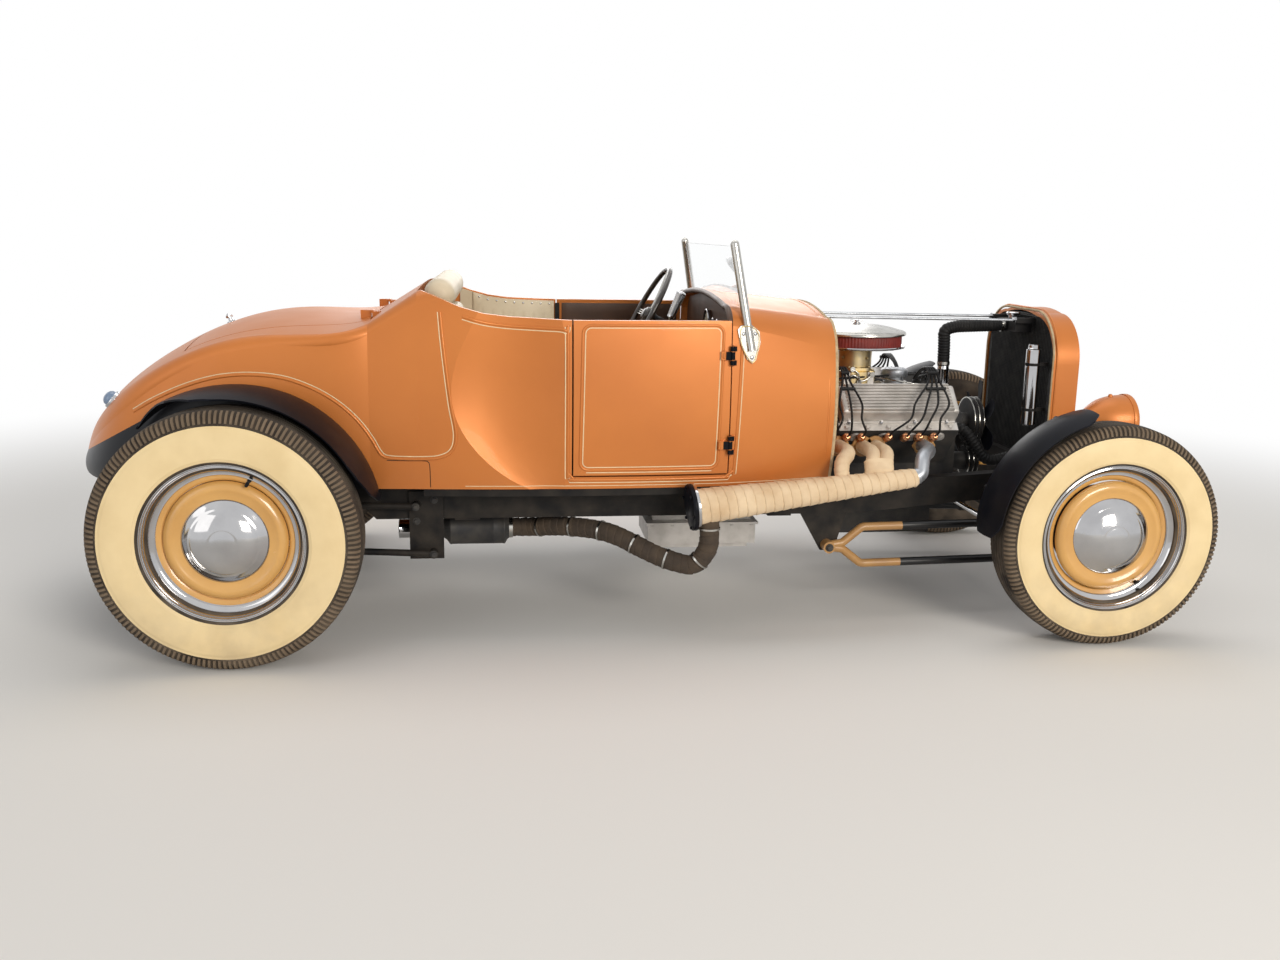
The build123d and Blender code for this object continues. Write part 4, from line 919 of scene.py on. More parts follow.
def makeSideTrim():
    # Level rays from the middle find the trim's face; the pad is that face, a little inboard, and its back.
    trim, wall = skinTree(["side_trim"]), skinTree(["tub"])
    top, low = trimPanel["top"], trimPanel["low"]
    xs = np.linspace(top[0][0], top[-1][0], 66)
    tops = np.interp(xs, *np.array(top).T)
    share = np.linspace(0, 1, 40)
    zs = low + (tops[:, None] - low) * share[None, :]
    across = np.minimum(np.linspace(0, 1, 66), np.linspace(1, 0, 66))
    edge = 14 * np.minimum(np.minimum(share, 1 - share)[None, :], across[:, None])
    pleats = 0.8 * groove(xs[:, None], trimPanel["pleat"], 0.005) * (share[None, :] < 0.88)
    puff = 0.004 * np.sqrt(np.clip(edge, 0, 1)) * (1 - pleats)
    cornerX = np.linspace(-0.603, -0.5535, 14)
    ceiling = np.interp(cornerX, (-0.603, -0.5535), (1.062, 1.0455))
    cornerZ = 0.9 + (ceiling[:, None] - 0.9) * np.linspace(0, 1, 16)[None, :]
    for side, way in sides.items():
        hits = [meet(trim, (min(max(x, -0.5525), -0.2345), 0, min(z, t - 0.012)), (0, way, 0))
            for x, t, line in zip(xs, tops, zs) for z in line]
        ys = np.array([h[1] if h is not None else np.nan for h in hits]).reshape(zs.shape)
        ys = np.where(np.isnan(ys), np.nanmedian(ys, axis=1, keepdims=True), ys)
        wide = xs[:, None] + 0 * zs
        grid = slab(np.stack([wide, ys - way * puff, zs], -1),
            np.stack([wide, ys + way * trimPanel["thick"], zs], -1))
        pad = makePiece("sideTrimPad_" + side, grid, "upholstery", replaced=["side_trim"])
        inner = np.array([[meet(wall, (x, 0, z - 0.008), (0, way, 0)).y for z in line]
            for x, line in zip(cornerX, cornerZ)])
        wide = cornerX[:, None] + 0 * cornerZ
        grid = slab(np.stack([wide, inner - way * 0.0085, cornerZ], -1),
            np.stack([wide, inner + way * 0.002, cornerZ], -1))
        corner = makePiece("trimCorner_" + side, grid, "upholstery")
        tacks = []
        for x in np.linspace(-0.53, -0.255, trimPanel["tacks"]):
            i = int(np.argmin(np.abs(xs - x)))
            place = x, ys[i, -3] - way * 0.003, tops[i] - 0.012
            tacks.append(spun(dome(-0.001, 0.0025, 0.004, 5), place, (0, -way, 0), 10))
        makePiece("trimTacks_" + side, tacks, "chrome")


def makeDash():
    # A brown padded roll follows the cowl's rear arch; bright rings frame the gauges.
    right = np.vstack([arcThrough((-0.541, 1.008), (-0.51, 1.0405), (-0.438, 1.054), 20),
        arcThrough((-0.438, 1.054), (0.0, 1.0815), (0.438, 1.054), 60)[1:]])
    line = np.vstack([right, right[:19][::-1] * (-1, 1)])
    line = spread(np.stack([np.full(len(line), 0.268), line[:, 0], line[:, 1]], -1), 150)
    length = np.linspace(0, 1, 150)
    radius = 0.0095 * np.clip(np.minimum(length, 1 - length) * 60 + 0.35, 0, 1) ** 0.5
    pad = makePiece("dashRoll", tube(line, radius[:, None], 18, (1, 0, 0)), "dash_brown")
    rings, faces, marks = [], [], []
    for y, r in ((0.0, 0.052), (-0.13, 0.03), (-0.21, 0.03)):
        place = 0.2885, y, 0.965
        rings.append(hoop([(-0.003, r + 0.002), (0.004, r + 0.003), (0.0065, r), (0.006, r - 0.004),
            (0.001, r - 0.006), (-0.003, r - 0.006)], place, (-1, 0, 0), 56))
        faces.append(spun(disc(-0.002, 0.0012, r - 0.005), place, (-1, 0, 0), 40))
        for a in np.radians(np.linspace(-40, 220, 11)):
            way = np.array([0, -math.cos(a), math.sin(a)])
            foot = np.array(place) + (-0.0018, 0, 0)
            marks.append(rodGrid(foot + way * (r - 0.013), foot + way * (r - 0.008), 0.0007, 6))
        needle = np.array([0, 0.5, 0.86])
        marks.append(rodGrid(foot - needle * 0.006, foot + needle * (r - 0.016), 0.0009, 6))
    makePiece("gaugeRings", rings, "chrome")
    makePiece("gaugeFaces", faces, "dial_cream")
    makePiece("gaugeMarks", marks, "core_black")


# Steering wheel and levers
steering = dict(centre=(0.088, 0.23, 0.985), axis=(-0.877, 0, 0.4805), ring=0.19, grip=0.01)


def makeSteering():
    # The ring is a circle of small circles whose radius swells with each finger wave.
    centre, axis = np.array(steering["centre"]), unit(steering["axis"])
    first = np.array([0, 1.0, 0])
    second = np.cross(axis, first)
    a = around(240)[:, None, None]
    b = around(16)[None, :, None]
    radial = np.cos(a) * first + np.sin(a) * second
    inner = np.clip(-np.cos(b) - 0.2, 0, 1)
    grip = steering["grip"] - 0.0016 * inner * (0.5 + 0.5 * np.cos(a * 36))
    grid = centre + radial * (steering["ring"] + grip * np.cos(b)) + axis * grip * np.sin(b)
    makePiece("steeringRing", (grid, True, True, 0), "rim_dark", body="steering_wheel", replaced=["steering_wheel"])
    spokes = []
    for k in range(4):
        way = first * math.cos(k * turn / 4) + second * math.sin(k * turn / 4)
        across = np.cross(axis, way)
        for shift in (-0.007, 0.0, 0.007):
            path = smoothPath([centre - axis * 0.014 + way * 0.02 + across * shift, centre - axis * 0.011
                + way * 0.09 + across * shift * 1.15, centre + way * 0.186 + across * shift * 1.3], 14)
            spokes.append(tube(path, 0.0024, 8, axis))
    makePiece("steeringSpokes", spokes, "polished_metal", body="steering_wheel")
    hub = mm([(-38, 0), (-38, 24), (-24, 30), (-6, 31), (0, 28), (1.5, 22), (5, 21), (7.5, 15), (8, 0)])
    makePiece("steeringHub", spun(hub, centre, axis, 48), "rim_dark", body="steering_wheel")


def makeLevers():
    # Bars follow short curves; the shifter's grip is a tapered profile cut by fine knurls.
    gear = smoothPath(mm([(186, -40, 600), (176, -40, 760), (153, -40, 940), (149, -40, 992)]), 30)
    parts = [tube(gear, np.linspace(0.0085, 0.0068, 30)[:, None], 16, (1, 0, 0))]
    start, end = np.array((0.1475, -0.04, 0.986)), np.array((0.19, -0.04, 1.082))
    along = unit(end - start)
    long = np.linalg.norm(end - start)
    steps = np.linspace(0, 1, 90)
    radius = 0.0135 + 0.005 * steps
    radius = radius * np.clip(np.sqrt(np.minimum(steps * 18, 1)), 0.3, 1) * np.sqrt(np.clip((1 - steps) * 16, 0, 1))
    radius = np.where((steps > 0.12) & (steps < 0.88), radius - 0.0009 * (np.arange(90) % 3 == 0), radius)
    parts.append(spun(np.stack([steps * long, radius], -1), start, along, 40))
    makePiece("gearLever", parts, "chrome", replaced=["levers"])
    brake = smoothPath(mm([(58, 60, 575), (50, 60, 640), (26, 60, 760), (20, 60, 786)]), 24)
    swell = 0.0075 + 0.0035 * (np.linspace(0, 1, 24) > 0.62)
    makePiece("brakeLever", tube(brake, swell[:, None], 14, (1, 0, 0)), "chrome")
    boots = []
    for x, y, z in ((0.1855, -0.04, 0.592), (0.056, 0.06, 0.585)):
        ribs = np.linspace(0, 1, 28)
        profile = np.stack([ribs * 0.05, 0.032 - 0.02 * ribs + 0.0022 * np.sin(ribs * turn * 5)], -1)
        profile = np.vstack([[(0, 0.0)], profile, [(0.05, 0.0)]])
        boots.append(spun(profile, (x, y, z), (0, 0, 1), 28))
    makePiece("leverBoots", boots, "hose_rubber")


plateLine = mm([(301, 950), (299, 985), (306, 1000), (334, 1000), (356, 982), (361, 950), (349, 898), (339, 889),
    (325, 902), (309, 930), (301, 950)])


def makeScreen():
    # Each base plate gets a raised rim line and three screws.
    skin = skinTree(["windshield_posts"])
    for side, way in sides.items():
        points, normals = onSide(skin, smoothPath(plateLine, 90), way)
        normals = normals * 0 + unit(np.array((0.08, way * 0.93, 0.36)))
        rim = strip(points[:-1], normals[:-1], 0.0045, 0.0022, closed=True)
        makePiece("plateRim_" + side, [(rim, True, True, 0)], "zinc_gold")
        screws = []
        for place in ((0.309, 0.978), (0.348, 0.978), (0.338, 0.904)):
            points, normals = onSide(skin, [place], way)
            screws.append(spun(dome(-0.002, 0.003, 0.0062, 6), points[0], normals[0], 18))
        makePiece("plateScrews_" + side, screws, "chrome")


# Wrapped headers and exhaust
headers = dict(
    cone=((0.165, -0.612, 0.439), (0.905, -0.557, 0.516)),
    coneR=(0.0565, 0.0285),
    pitch=0.03,
    lap=0.0022,
    cap=((0.139, -0.612, 0.437), 0.0745),
    ports=[(0.706, 0.652, 0.0235), (0.79, 0.758, 0.022), (0.836, 0.803, 0.022)],
    bare=mm([(1010, -262, 572), (985, -430, 580), (925, -525, 578), (912, -557, 524), (880, -559, 514)]),
    down=mm([(206, -607, 430), (208, -607, 300), (162, -592, 236), (60, -556, 258), (-100, -462, 325),
        (-230, -382, 325), (-360, -290, 300), (-440, -290, 300)]),
)


def wrapped(path, radius, pitch, lap, count=28, up=(0, 0, 1)):
    # A tape's edge climbs once round for each pitch: radius + lap * (1 - place within its turn).
    length = distances(path)
    angle = np.linspace(0, 1, count, endpoint=False)
    place = (length[:, None] / pitch + angle[None, :]) % 1.0
    ragged = 0.0006 * np.sin(length[:, None] * 61 + angle[None, :] * 13) * np.sin(angle[None, :] * 25 + 1)
    radius = np.broadcast_to(np.asarray(radius, float), (len(path),))[:, None]
    valley = 0.0013 * np.exp(-((place - 0.95) / 0.05) ** 2)
    return tube(path, radius + lap * (1 - place) + ragged - valley, count, up)


def flip(points, way):
    # The right side's points, or the same mirrored for the left side.
    return np.asarray(points, float) * (1, -way, 1)


def clampBand(path, at, radius, width=0.009, proud=0.0022):
    # A thin band round a tube at a share of its length.
    path = np.asarray(path, float)
    i = int(at * (len(path) - 2))
    low, high = radius - 0.003, radius + proud
    ring = [(-width / 2, low), (-width / 2, high), (width / 2, high), (width / 2, low)]
    return hoop(ring, path[i], unit(path[i + 1] - path[i]), 36)


def makeHeaders():
    # Taped tubes run from the ports into a taped cone, with a bare elbow ahead and a bolted cap behind.
    place0, r = headers["cap"]
    cap = [(0.0, 0.0), (0.0, 0.052), (0.002, 0.056), (0.002, r - 0.001), (0.004, r), (0.013, r), (0.015, r - 0.001),
        (0.015, 0.055), (0.02, 0.054), (0.02, 0.0)]
    shine = [(0.0155, 0.053), (0.0155, r - 0.001), (0.0175, r), (0.0235, r - 0.001), (0.025, r - 0.004),
        (0.025, 0.053)]
    angle = around(40)
    for side, way in sides.items():
        start, end = (flip(p, way) for p in headers["cone"])
        radius = np.linspace(*headers["coneR"], 320)
        radius[-8:] *= np.sqrt(np.linspace(1, 0.35, 8))
        parts = [wrapped(np.linspace(start, end, 320), radius, headers["pitch"], headers["lap"], 40)]
        for port, out, thick in headers["ports"]:
            path = bentPath(flip([(port, -0.262, 0.572), (port - 0.008, -0.455, 0.578), (out, -0.523, 0.56),
                (out - 0.005, -0.562, 0.505)], way), 0.045, 110)
            parts.append(wrapped(path, thick, 0.024, 0.0016, 26, (0.9, 0.1, 0.2)))
        makePiece("headerWrap_" + side, parts, "header_wrap", replaced=["headers"] if side == "right" else [])
        # tape over the twin pipes, an oval square across both
        line = spread(flip([(0.7775, -0.523, 0.562), (0.7745, -0.545, 0.535), (0.772, -0.56, 0.506)], way), 60)
        lift = unit(np.cross(unit(np.gradient(line, axis=0)), (1.0, 0, 0)))
        half = (0.0235 + 0.0012 * (1 - np.linspace(0, 4, 60) % 1.0))[:, None, None]
        squared = (np.sign(np.cos(angle)) * np.abs(np.cos(angle)) ** 0.75)[None, :, None]
        wide = squared * (np.array([1, 0, 0]) * (half + 0.0245))
        tall = np.sin(angle)[None, :, None] * lift[:, None] * half
        makePiece("twinWrap_" + side, line[:, None] + wide + tall, "header_wrap")
        bare = bentPath(flip(headers["bare"], way), 0.05, 80)
        makePiece("bareElbow_" + side, [tube(bare, 0.024, 28, (0.9, 0.1, 0.2)), clampBand(bare, 0.97, 0.024)],
            "bare_steel")
        place, axis = flip(place0, way), unit(flip((0.74, 0.055, 0.077), way))
        side1 = unit(np.cross(axis, (0, 0, 1)))
        side2 = np.cross(axis, side1)
        bolts = [boltHead(place + (side1 * math.cos(a) + side2 * math.sin(a)) * 0.0645 - axis * 0.0005, -axis,
            0.0055, 0.005) for a in around(6, 0.3)]
        makePiece("collectorCap_" + side, [spun(cap, place, axis, 64)] + bolts, "fender_black")
        makePiece("collectorRing_" + side, hoop(shine, place, axis, 64), "chrome")
        flanges = []
        for x in (0.706, 0.79, 0.836, 1.01):
            face = mm([(0, 20), (0, 36), (10, 36), (10, 20)])
            flanges.append(hoop(face, flip((x, -0.296, 0.573), way), (0, way, 0), 32))
            flanges += [boltHead(flip((x + step, -0.3, 0.573), way), (0, way, 0), 0.0065, 0.008)
                for step in (-0.034, 0.034)]
        makePiece("portFlanges_" + side, flanges, "wishbone_tan")


def makeExhaust():
    # Taped pipes follow bent lines down and back; silencers and tail pipes are profiles along the car.
    for side, way in sides.items():
        line = bentPath(flip(headers["down"], way), 0.075, 420)
        grid = wrapped(line, 0.0305, 0.026, 0.0018, 28, (0.35, 0.9, 0.1))
        makePiece("downPipeWrap_" + side, grid, "down_wrap",
            replaced=["exhaust_pipes"] if side == "right" else [])
        bands = [clampBand(line, at, 0.033, 0.006, 0.0015) for at in (0.07, 0.2, 0.33, 0.46, 0.6, 0.72, 0.86)]
        makePiece("wrapBands_" + side, bands, "polished_metal")
        centre = flip((-0.42, -0.29, 0.3), way)
        body = mm([(0, 0), (0, 33), (10, 40), (18, 54.5), (22, 56), (26, 54.5), (194, 54.5), (198, 56), (202, 54.5),
            (212, 40), (222, 33), (222, 0)])
        seams = [(0.055, 0.0545), (0.0565, 0.0553), (0.058, 0.0545)]
        body = body[:6] + seams + body[6:]
        makePiece("silencer_" + side, spun(body, centre, (-1, 0, 0), 48), "engine_iron")
        tip = mm([(205, 29), (205, 31.5), (366, 31.7), (368, 32.5), (370, 31.7), (370, 29), (225, 28.5)])
        makePiece("tailPipe_" + side, hoop(tip, centre, (-1, 0, 0), 40), "chrome")
        clamps = [clampBand([centre, centre + (-0.3, 0, 0)], 0.0, 0.033, 0.016, 0.003)]
        for x in (-0.412, -0.652):
            at = flip((x, -0.29, 0.334), way)
            clamps.append(rodGrid(at + (0, 0, -0.002), at + (0, 0, 0.03), 0.005, 12))
        makePiece("pipeClamps_" + side, clamps, "polished_metal")


# Engine dress
bankSlope = math.sqrt(0.5)


def onBank(x, v, u, way):
    # From a cylinder bank's own axes to the car's: v across the bank, u up along it.
    x, v, u = np.broadcast_arrays(np.asarray(x, float), np.asarray(v, float), np.asarray(u, float))
    return np.stack([x, -way * bankSlope * (v - u), crankZ + bankSlope * (v + u)], -1)


def makeValveCovers():
    # A squared section runs along the bank and draws in at both ends; fins stand on its top.
    section = np.array(mm([(-64, 330), (-64, 335.5), (-60.5, 336.5), (-59, 380), (-57, 386.8), (-52, 390.5),
        (-44, 392), (44, 392), (52, 390.5), (57, 386.8), (59, 380), (60.5, 336.5), (64, 335.5), (64, 330)]))
    for side, way in sides.items():
        run = np.array([-0.2065, -0.2055, -0.203, -0.198, -0.19, 0.19, 0.198, 0.203, 0.2055, 0.2065])
        draw = np.array([0.955, 0.975, 0.988, 0.996, 1.0, 1.0, 0.996, 0.988, 0.975, 0.955])
        drop = (1 - draw) * 0.3
        v = section[None, :, 0] * draw[:, None]
        u = 0.33 + (section[None, :, 1] - 0.33) * (1 - drop[:, None] * 6)
        parts = [onBank(engineX + run[:, None], v, u, way)]
        for k in range(-4, 5):
            x = np.array([-0.188, -0.186, -0.18, 0.18, 0.186, 0.188])[:, None]
            high = np.array([0.35, 0.75, 1.0, 1.0, 0.75, 0.35])[:, None]
            rib = np.array(mm([(-3, 388), (-2.4, 402), (-1.2, 403.5), (1.2, 403.5), (2.4, 402), (3, 388)]))
            parts.append(onBank(engineX + x, k * 0.013 + rib[None, :, 0] * np.clip(high + 0.2, 0, 1),
                0.388 + (rib[None, :, 1] - 0.388) * high, way))
        makePiece("finnedCover_" + side, parts, "cast_alloy", replaced=["valve_covers"] if side == "right" else [])
        out = onBank(0, 0, 1.0, way) - onBank(0, 0, 0.0, way)
        bolts = [boltHead(onBank(engineX + x, v, 0.3355, way), out, 0.0058, 0.007)
            for x in (-0.175, -0.06, 0.06, 0.175) for v in (-0.0625, 0.0625)]
        makePiece("coverBolts_" + side, bolts, "chrome")
        rail = [onBank(engineX + np.array([-0.212, 0.212])[:, None], np.array([-0.094, -0.094, -0.062, -0.062]),
            np.array([0.318, 0.3305, 0.3305, 0.318]), way)]
        for x in np.linspace(-0.185, 0.185, 6):
            rail.append(boltHead(onBank(engineX + x, -0.082, 0.3303, way), out, 0.0085, 0.009))
        for x in (-0.15, -0.05, 0.05, 0.15):
            boss = mm([(0, 0), (0, 21), (6, 20), (10, 13), (10, 0)])
            outward = onBank(0, -1.0, 0, way) - onBank(0, 0, 0, way)
            rail.append(spun(boss, onBank(engineX + x, -0.0955, 0.296, way), outward, 24))
        makePiece("headRail_" + side, rail, "cast_alloy")


leads = {
    "rear": dict(start=(0.728, -0.1, 0.79), plugs=(0.676, 0.726, 0.778)),
    "front": dict(start=(1.04, -0.085, 0.79), plugs=(0.874, 0.936, 0.984, 1.036)),
}


def makeLeads():
    # Leads climb over the cover's upper edge in a loom, then fan out down its face to the plugs.
    for side, way in sides.items():
        tubes, shields, clips = [], [], []
        for bunch in leads.values():
            x0, y0, z0 = bunch["start"]
            count = len(bunch["plugs"])
            for k, plug in enumerate(bunch["plugs"]):
                step = (k - (count - 1) / 2) * 0.0078
                path = [(x0 + step * 0.3, y0, z0 - 0.01), (x0 + step * 0.4, y0 - 0.06, z0 + 0.028),
                    (x0 + step, -0.236, 0.836), (x0 + step * 1.8, -0.281, 0.793),
                    (x0 + step * 3 + (plug - x0) * 0.3, -0.345, 0.729), (x0 * 0.35 + plug * 0.65, -0.374, 0.68),
                    (plug, -0.372, 0.636), (plug, -0.336, 0.612)]
                tubes.append(tube(smoothPath(flip(path, way), 70), 0.0038, 10, (0.9, 0.2, 0.3)))
                foot = flip((plug, -0.296, 0.598), way)
                out = unit(flip((0, -0.94, 0.34), way))
                shape = mm([(0, 0), (0, 12.5), (4, 14), (14, 14), (16, 12.8), (26, 12.8), (28, 14), (34, 14),
                    (37, 11), (40, 7.2), (46, 6.8), (46, 0)])
                shields.append(spun(shape, foot, out, 20))
            for z, y, spreadOut in ((0.822, -0.262, 1.0), (0.772, -0.302, 1.9)):
                at = flip((x0, y, z), way)
                half = 0.0045 * count * spreadOut
                clips.append(rodGrid(at - (half, 0, 0), at + (half, 0, 0), 0.0062, 10))
        makePiece("plugLeads_" + side, tubes, "hose_rubber")
        makePiece("plugShields_" + side, shields, "shield_copper")
        makePiece("leadClips_" + side, clips, "hose_rubber")
    body = mm([(0, 0), (0, 24), (32, 24), (36, 33), (58, 33), (66, 28), (68, 0)])
    parts = [spun(body, (1.095, 0.0, 0.7), (0, 0, 1), 40)]
    for a in around(8):
        at = np.array((1.095 + 0.022 * math.cos(a), 0.022 * math.sin(a), 0.764))
        parts.append(spun(mm([(0, 0), (0, 6.5), (12, 6), (14, 0)]), at, (0, 0, 1), 14))
        bunch = leads["front"] if math.cos(a) > -0.8 else leads["rear"]
        way = -1 if math.sin(a + 0.1) < 0 else 1
        end = np.array(bunch["start"]) * (1, -way, 1) + (0, 0, -0.01)
        path = smoothPath([at + (0, 0, 0.012), at + (-0.004, way * 0.008, 0.022), (at + end) / 2 + (0, 0, 0.012),
            end], 40)
        parts.append(tube(path, 0.0037, 10, (0.3, 0.9, 0.3)))
    makePiece("distributor", parts, "hose_rubber")


def makeAirCleaner():
    # Dish, pleated element and domed lid are profiles round one upright axis; the pleats swell the radius.
    centre = airX, 0, 0.885
    dish = mm([(0, 60), (0, 105), (1, 165), (4, 175.5), (8, 177.5), (11, 176.5), (10, 172), (6, 164), (6, 60)])
    makePiece("cleanerDish", hoop(dish, centre, (0, 0, 1), 128), "chrome", replaced=["air_cleaner"])
    steps = 360
    grid = turned(mm([(6, 120), (6, 162), (10, 164), (50, 164), (54, 162), (54, 120)]), (0, 0, 0), (0, 0, 1), steps)
    pleat = 1 - 0.012 * (np.arange(steps) % 4 // 2)[:, None, None] * np.array([0, 0, 1, 1, 0, 0])[None, :, None]
    grid = grid * np.concatenate([np.repeat(pleat, 2, -1), np.ones_like(pleat)], -1) + centre
    makePiece("cleanerElement", (grid, True, True, 0), "filter_red")
    lid = mm([(50.5, 120), (50.5, 170), (49, 176.5), (51, 178.5), (56, 178.5), (60, 176.5), (63.5, 170),
        (65.5, 160), (74, 130), (80, 98), (83.8, 60), (85, 30), (85.2, 0)])
    makePiece("cleanerLid", spun(lid, centre, (0, 0, 1), 128), "polished_metal")
    nut = mm([(85.2, 0), (85.2, 16), (87, 16), (88.5, 9), (99, 7.5), (101.5, 0)])
    wings = [tube(smoothPath([(airX + way * 0.006, 0, 0.976), (airX + way * 0.016, 0, 0.9815),
        (airX + way * 0.023, 0, 0.9835)], 10), np.linspace(0.004, 0.0026, 10)[:, None], 10) for way in (-1, 1)]
    makePiece("cleanerNut", [spun(nut, centre, (0, 0, 1), 24)] + wings, "chrome")


def roundedBlock(low, high, r, steps=5):
    # An upright block with round corners and a chamfered top, as rings of one outline.
    (x0, y0, z0), (x1, y1, z1) = low, high
    line = roundOutline(x0, x1, y0, y1, r, steps)
    middle = np.array([(x0 + x1) / 2, (y0 + y1) / 2])
    half = np.array([(x1 - x0) / 2, (y1 - y0) / 2])
    lip = min(0.003, (z1 - z0) / 4)
    rings = [(z0, lip), (z0 + lip, 0), (z1 - lip, 0), (z1, lip)]
    return np.stack([np.column_stack([middle + (line - middle) * (1 - inset / half), np.full(len(line), z)])
        for z, inset in rings])


def makeCarburettor():
    # Stacked blocks and a horn, then links, runners, filler cap and water neck round about.
    gold = [roundedBlock(low, high, r) for low, high, r in (
        ((0.781, -0.066, 0.7435), (0.899, 0.066, 0.757), 0.012),
        ((0.8, -0.064, 0.757), (0.88, 0.064, 0.803), 0.014),
        ((0.775, -0.05, 0.762), (0.806, 0.05, 0.806), 0.01),
        ((0.874, -0.05, 0.762), (0.905, 0.05, 0.806), 0.01),
        ((0.793, -0.0655, 0.803), (0.887, 0.0655, 0.818), 0.02))]
    horn = mm([(60, 40), (60, 59), (68, 60), (105, 59.5), (128, 61), (141.5, 64), (141.5, 40)])
    gold.append(hoop(horn, (airX, 0, 0.7435), (0, 0, 1), 48))
    for x in (0.784, 0.896):
        for y in (-0.036, 0.036):
            gold.append(boltHead((x, y, 0.806), (0, 0, 1), 0.005, 0.004))
    for x in (0.803, 0.877):
        for y in (-0.058, 0.058):
            gold.append(boltHead((x, y, 0.818), (0, 0, 1), 0.0045, 0.004))
    for k in range(4):
        a = 0.5 + k * turn / 4
        place = airX + 0.062 * math.cos(a), 0.062 * math.sin(a), 0.85
        gold.append(boltHead(place, (math.cos(a), math.sin(a), 0), 0.005, 0.005))
    makePiece("carburettor", gold, "zinc_gold")
    links = []
    for path in ([(790, -70, 775), (820, -74, 790), (850, -74, 770), (890, -71, 792)],
            [(812, -73, 812), (832, -76, 797), (838, -76, 765)],
            [(905, -30, 780), (940, -50, 776), (975, -90, 772), (1060, -105, 760)],
            [(776, 30, 785), (748, 50, 783), (742, 90, 760)]):
        links.append(tube(smoothPath(mm(path), 30), 0.0032, 10, (0.1, 0.3, 0.9)))
    for x, z in ((0.838, 0.765), (0.812, 0.812), (0.886, 0.792)):
        links.append(spun(mm([(0, 0), (0, 9), (6, 9), (6, 0)]), (x, -0.07, z), (0, -1, 0), 18))
    makePiece("throttleLinks", links, "polished_metal")
    runners = []
    for way in (-1, 1):
        for x in (0.775, 0.86, 0.975, 1.055):
            path = smoothPath([(0.5 * x + 0.46, way * 0.05, 0.735), (x, way * 0.1, 0.722), (x, way * 0.14, 0.69),
                (x, way * 0.165, 0.655)], 24)
            runners.append(tube(path, 0.021, 18, (1, 0, 0)))
        for x in np.linspace(0.76, 1.07, 5):
            runners.append(boltHead((x, way * 0.104, 0.742), (0, 0, 1), 0.007, 0.008))
    makePiece("intakeRunners", runners, "cast_alloy")
    cap = mm([(-14, 0), (-14, 47.5), (-10, 49.2), (6, 49.2), (10, 48), (13.5, 44), (15, 38), (15.8, 0)])
    capX, capZ = 0.992, 0.794
    dot = mm([(14.5, 0), (14.5, 2.8), (16.5, 2.2), (16.8, 0)])
    dots = [spun(dot, (capX + 0.033 * math.cos(a), 0.033 * math.sin(a), capZ), (0, 0, 1), 10) for a in around(8)]
    stem = mm([(-50, 0), (-50, 33.5), (-14, 33.5), (-14, 0)])
    makePiece("fillerCap", [spun(cap, (capX, 0, capZ), (0, 0, 1), 64), spun(stem, (capX, 0, capZ), (0, 0, 1), 40)]
        + dots, "bare_steel")
    neck = mm([(0, 0), (0, 36), (6, 36), (10, 27), (20, 21.2), (112, 20.5), (114, 21.5), (118, 21.5), (120, 20.5),
        (138, 20.5), (138, 0)])
    makePiece("waterNeck", spun(neck, (1.178, 0, 0.691), (0, 0, 1), 44), "chrome")


hoseSpec = dict(
    upper=dict(path=mm([(1178, 0, 818), (1176, 0, 900), (1172, 0, 950), (1215, 0, 962), (1320, 0, 966),
        (1404, 0, 969)]), bend=0.045, r=0.0215, rib=0.0022, pitch=0.0105),
    lower=dict(path=mm([(1172, -102, 611), (1218, -142, 604), (1300, -168, 484), (1390, -180, 510),
        (1468, -186.5, 541)]), bend=0.045, r=0.019, rib=0.0026, pitch=0.013),
)


def makeHoses():
    # The radius rises and falls along the hose: radius + rib * wave(length / pitch).
    for name, spec in hoseSpec.items():
        line = bentPath(spec["path"], spec["bend"], 260)
        length = distances(line)
        plain = (length < 0.03) | (length > length[-1] - 0.03)
        wave = np.abs(np.cos(length * math.pi / spec["pitch"]))
        radius = spec["r"] + np.where(plain, 0.0, spec["rib"] * (wave - 0.5))
        grid = tube(line, radius[:, None], 24, (0.1, 0.95, 0.2))
        makePiece("waterHose_" + name, grid, "hose_rubber", replaced=["hoses"] if name == "upper" else [])
        bands = [clampBand(line, at, spec["r"], 0.011, 0.0018) for at in (0.03, 0.97)]
        makePiece("hoseClamps_" + name, bands, "polished_metal")


fan = dict(x=1.299, z=0.613, crank=crankZ, dynamo=(0.215, 0.56))


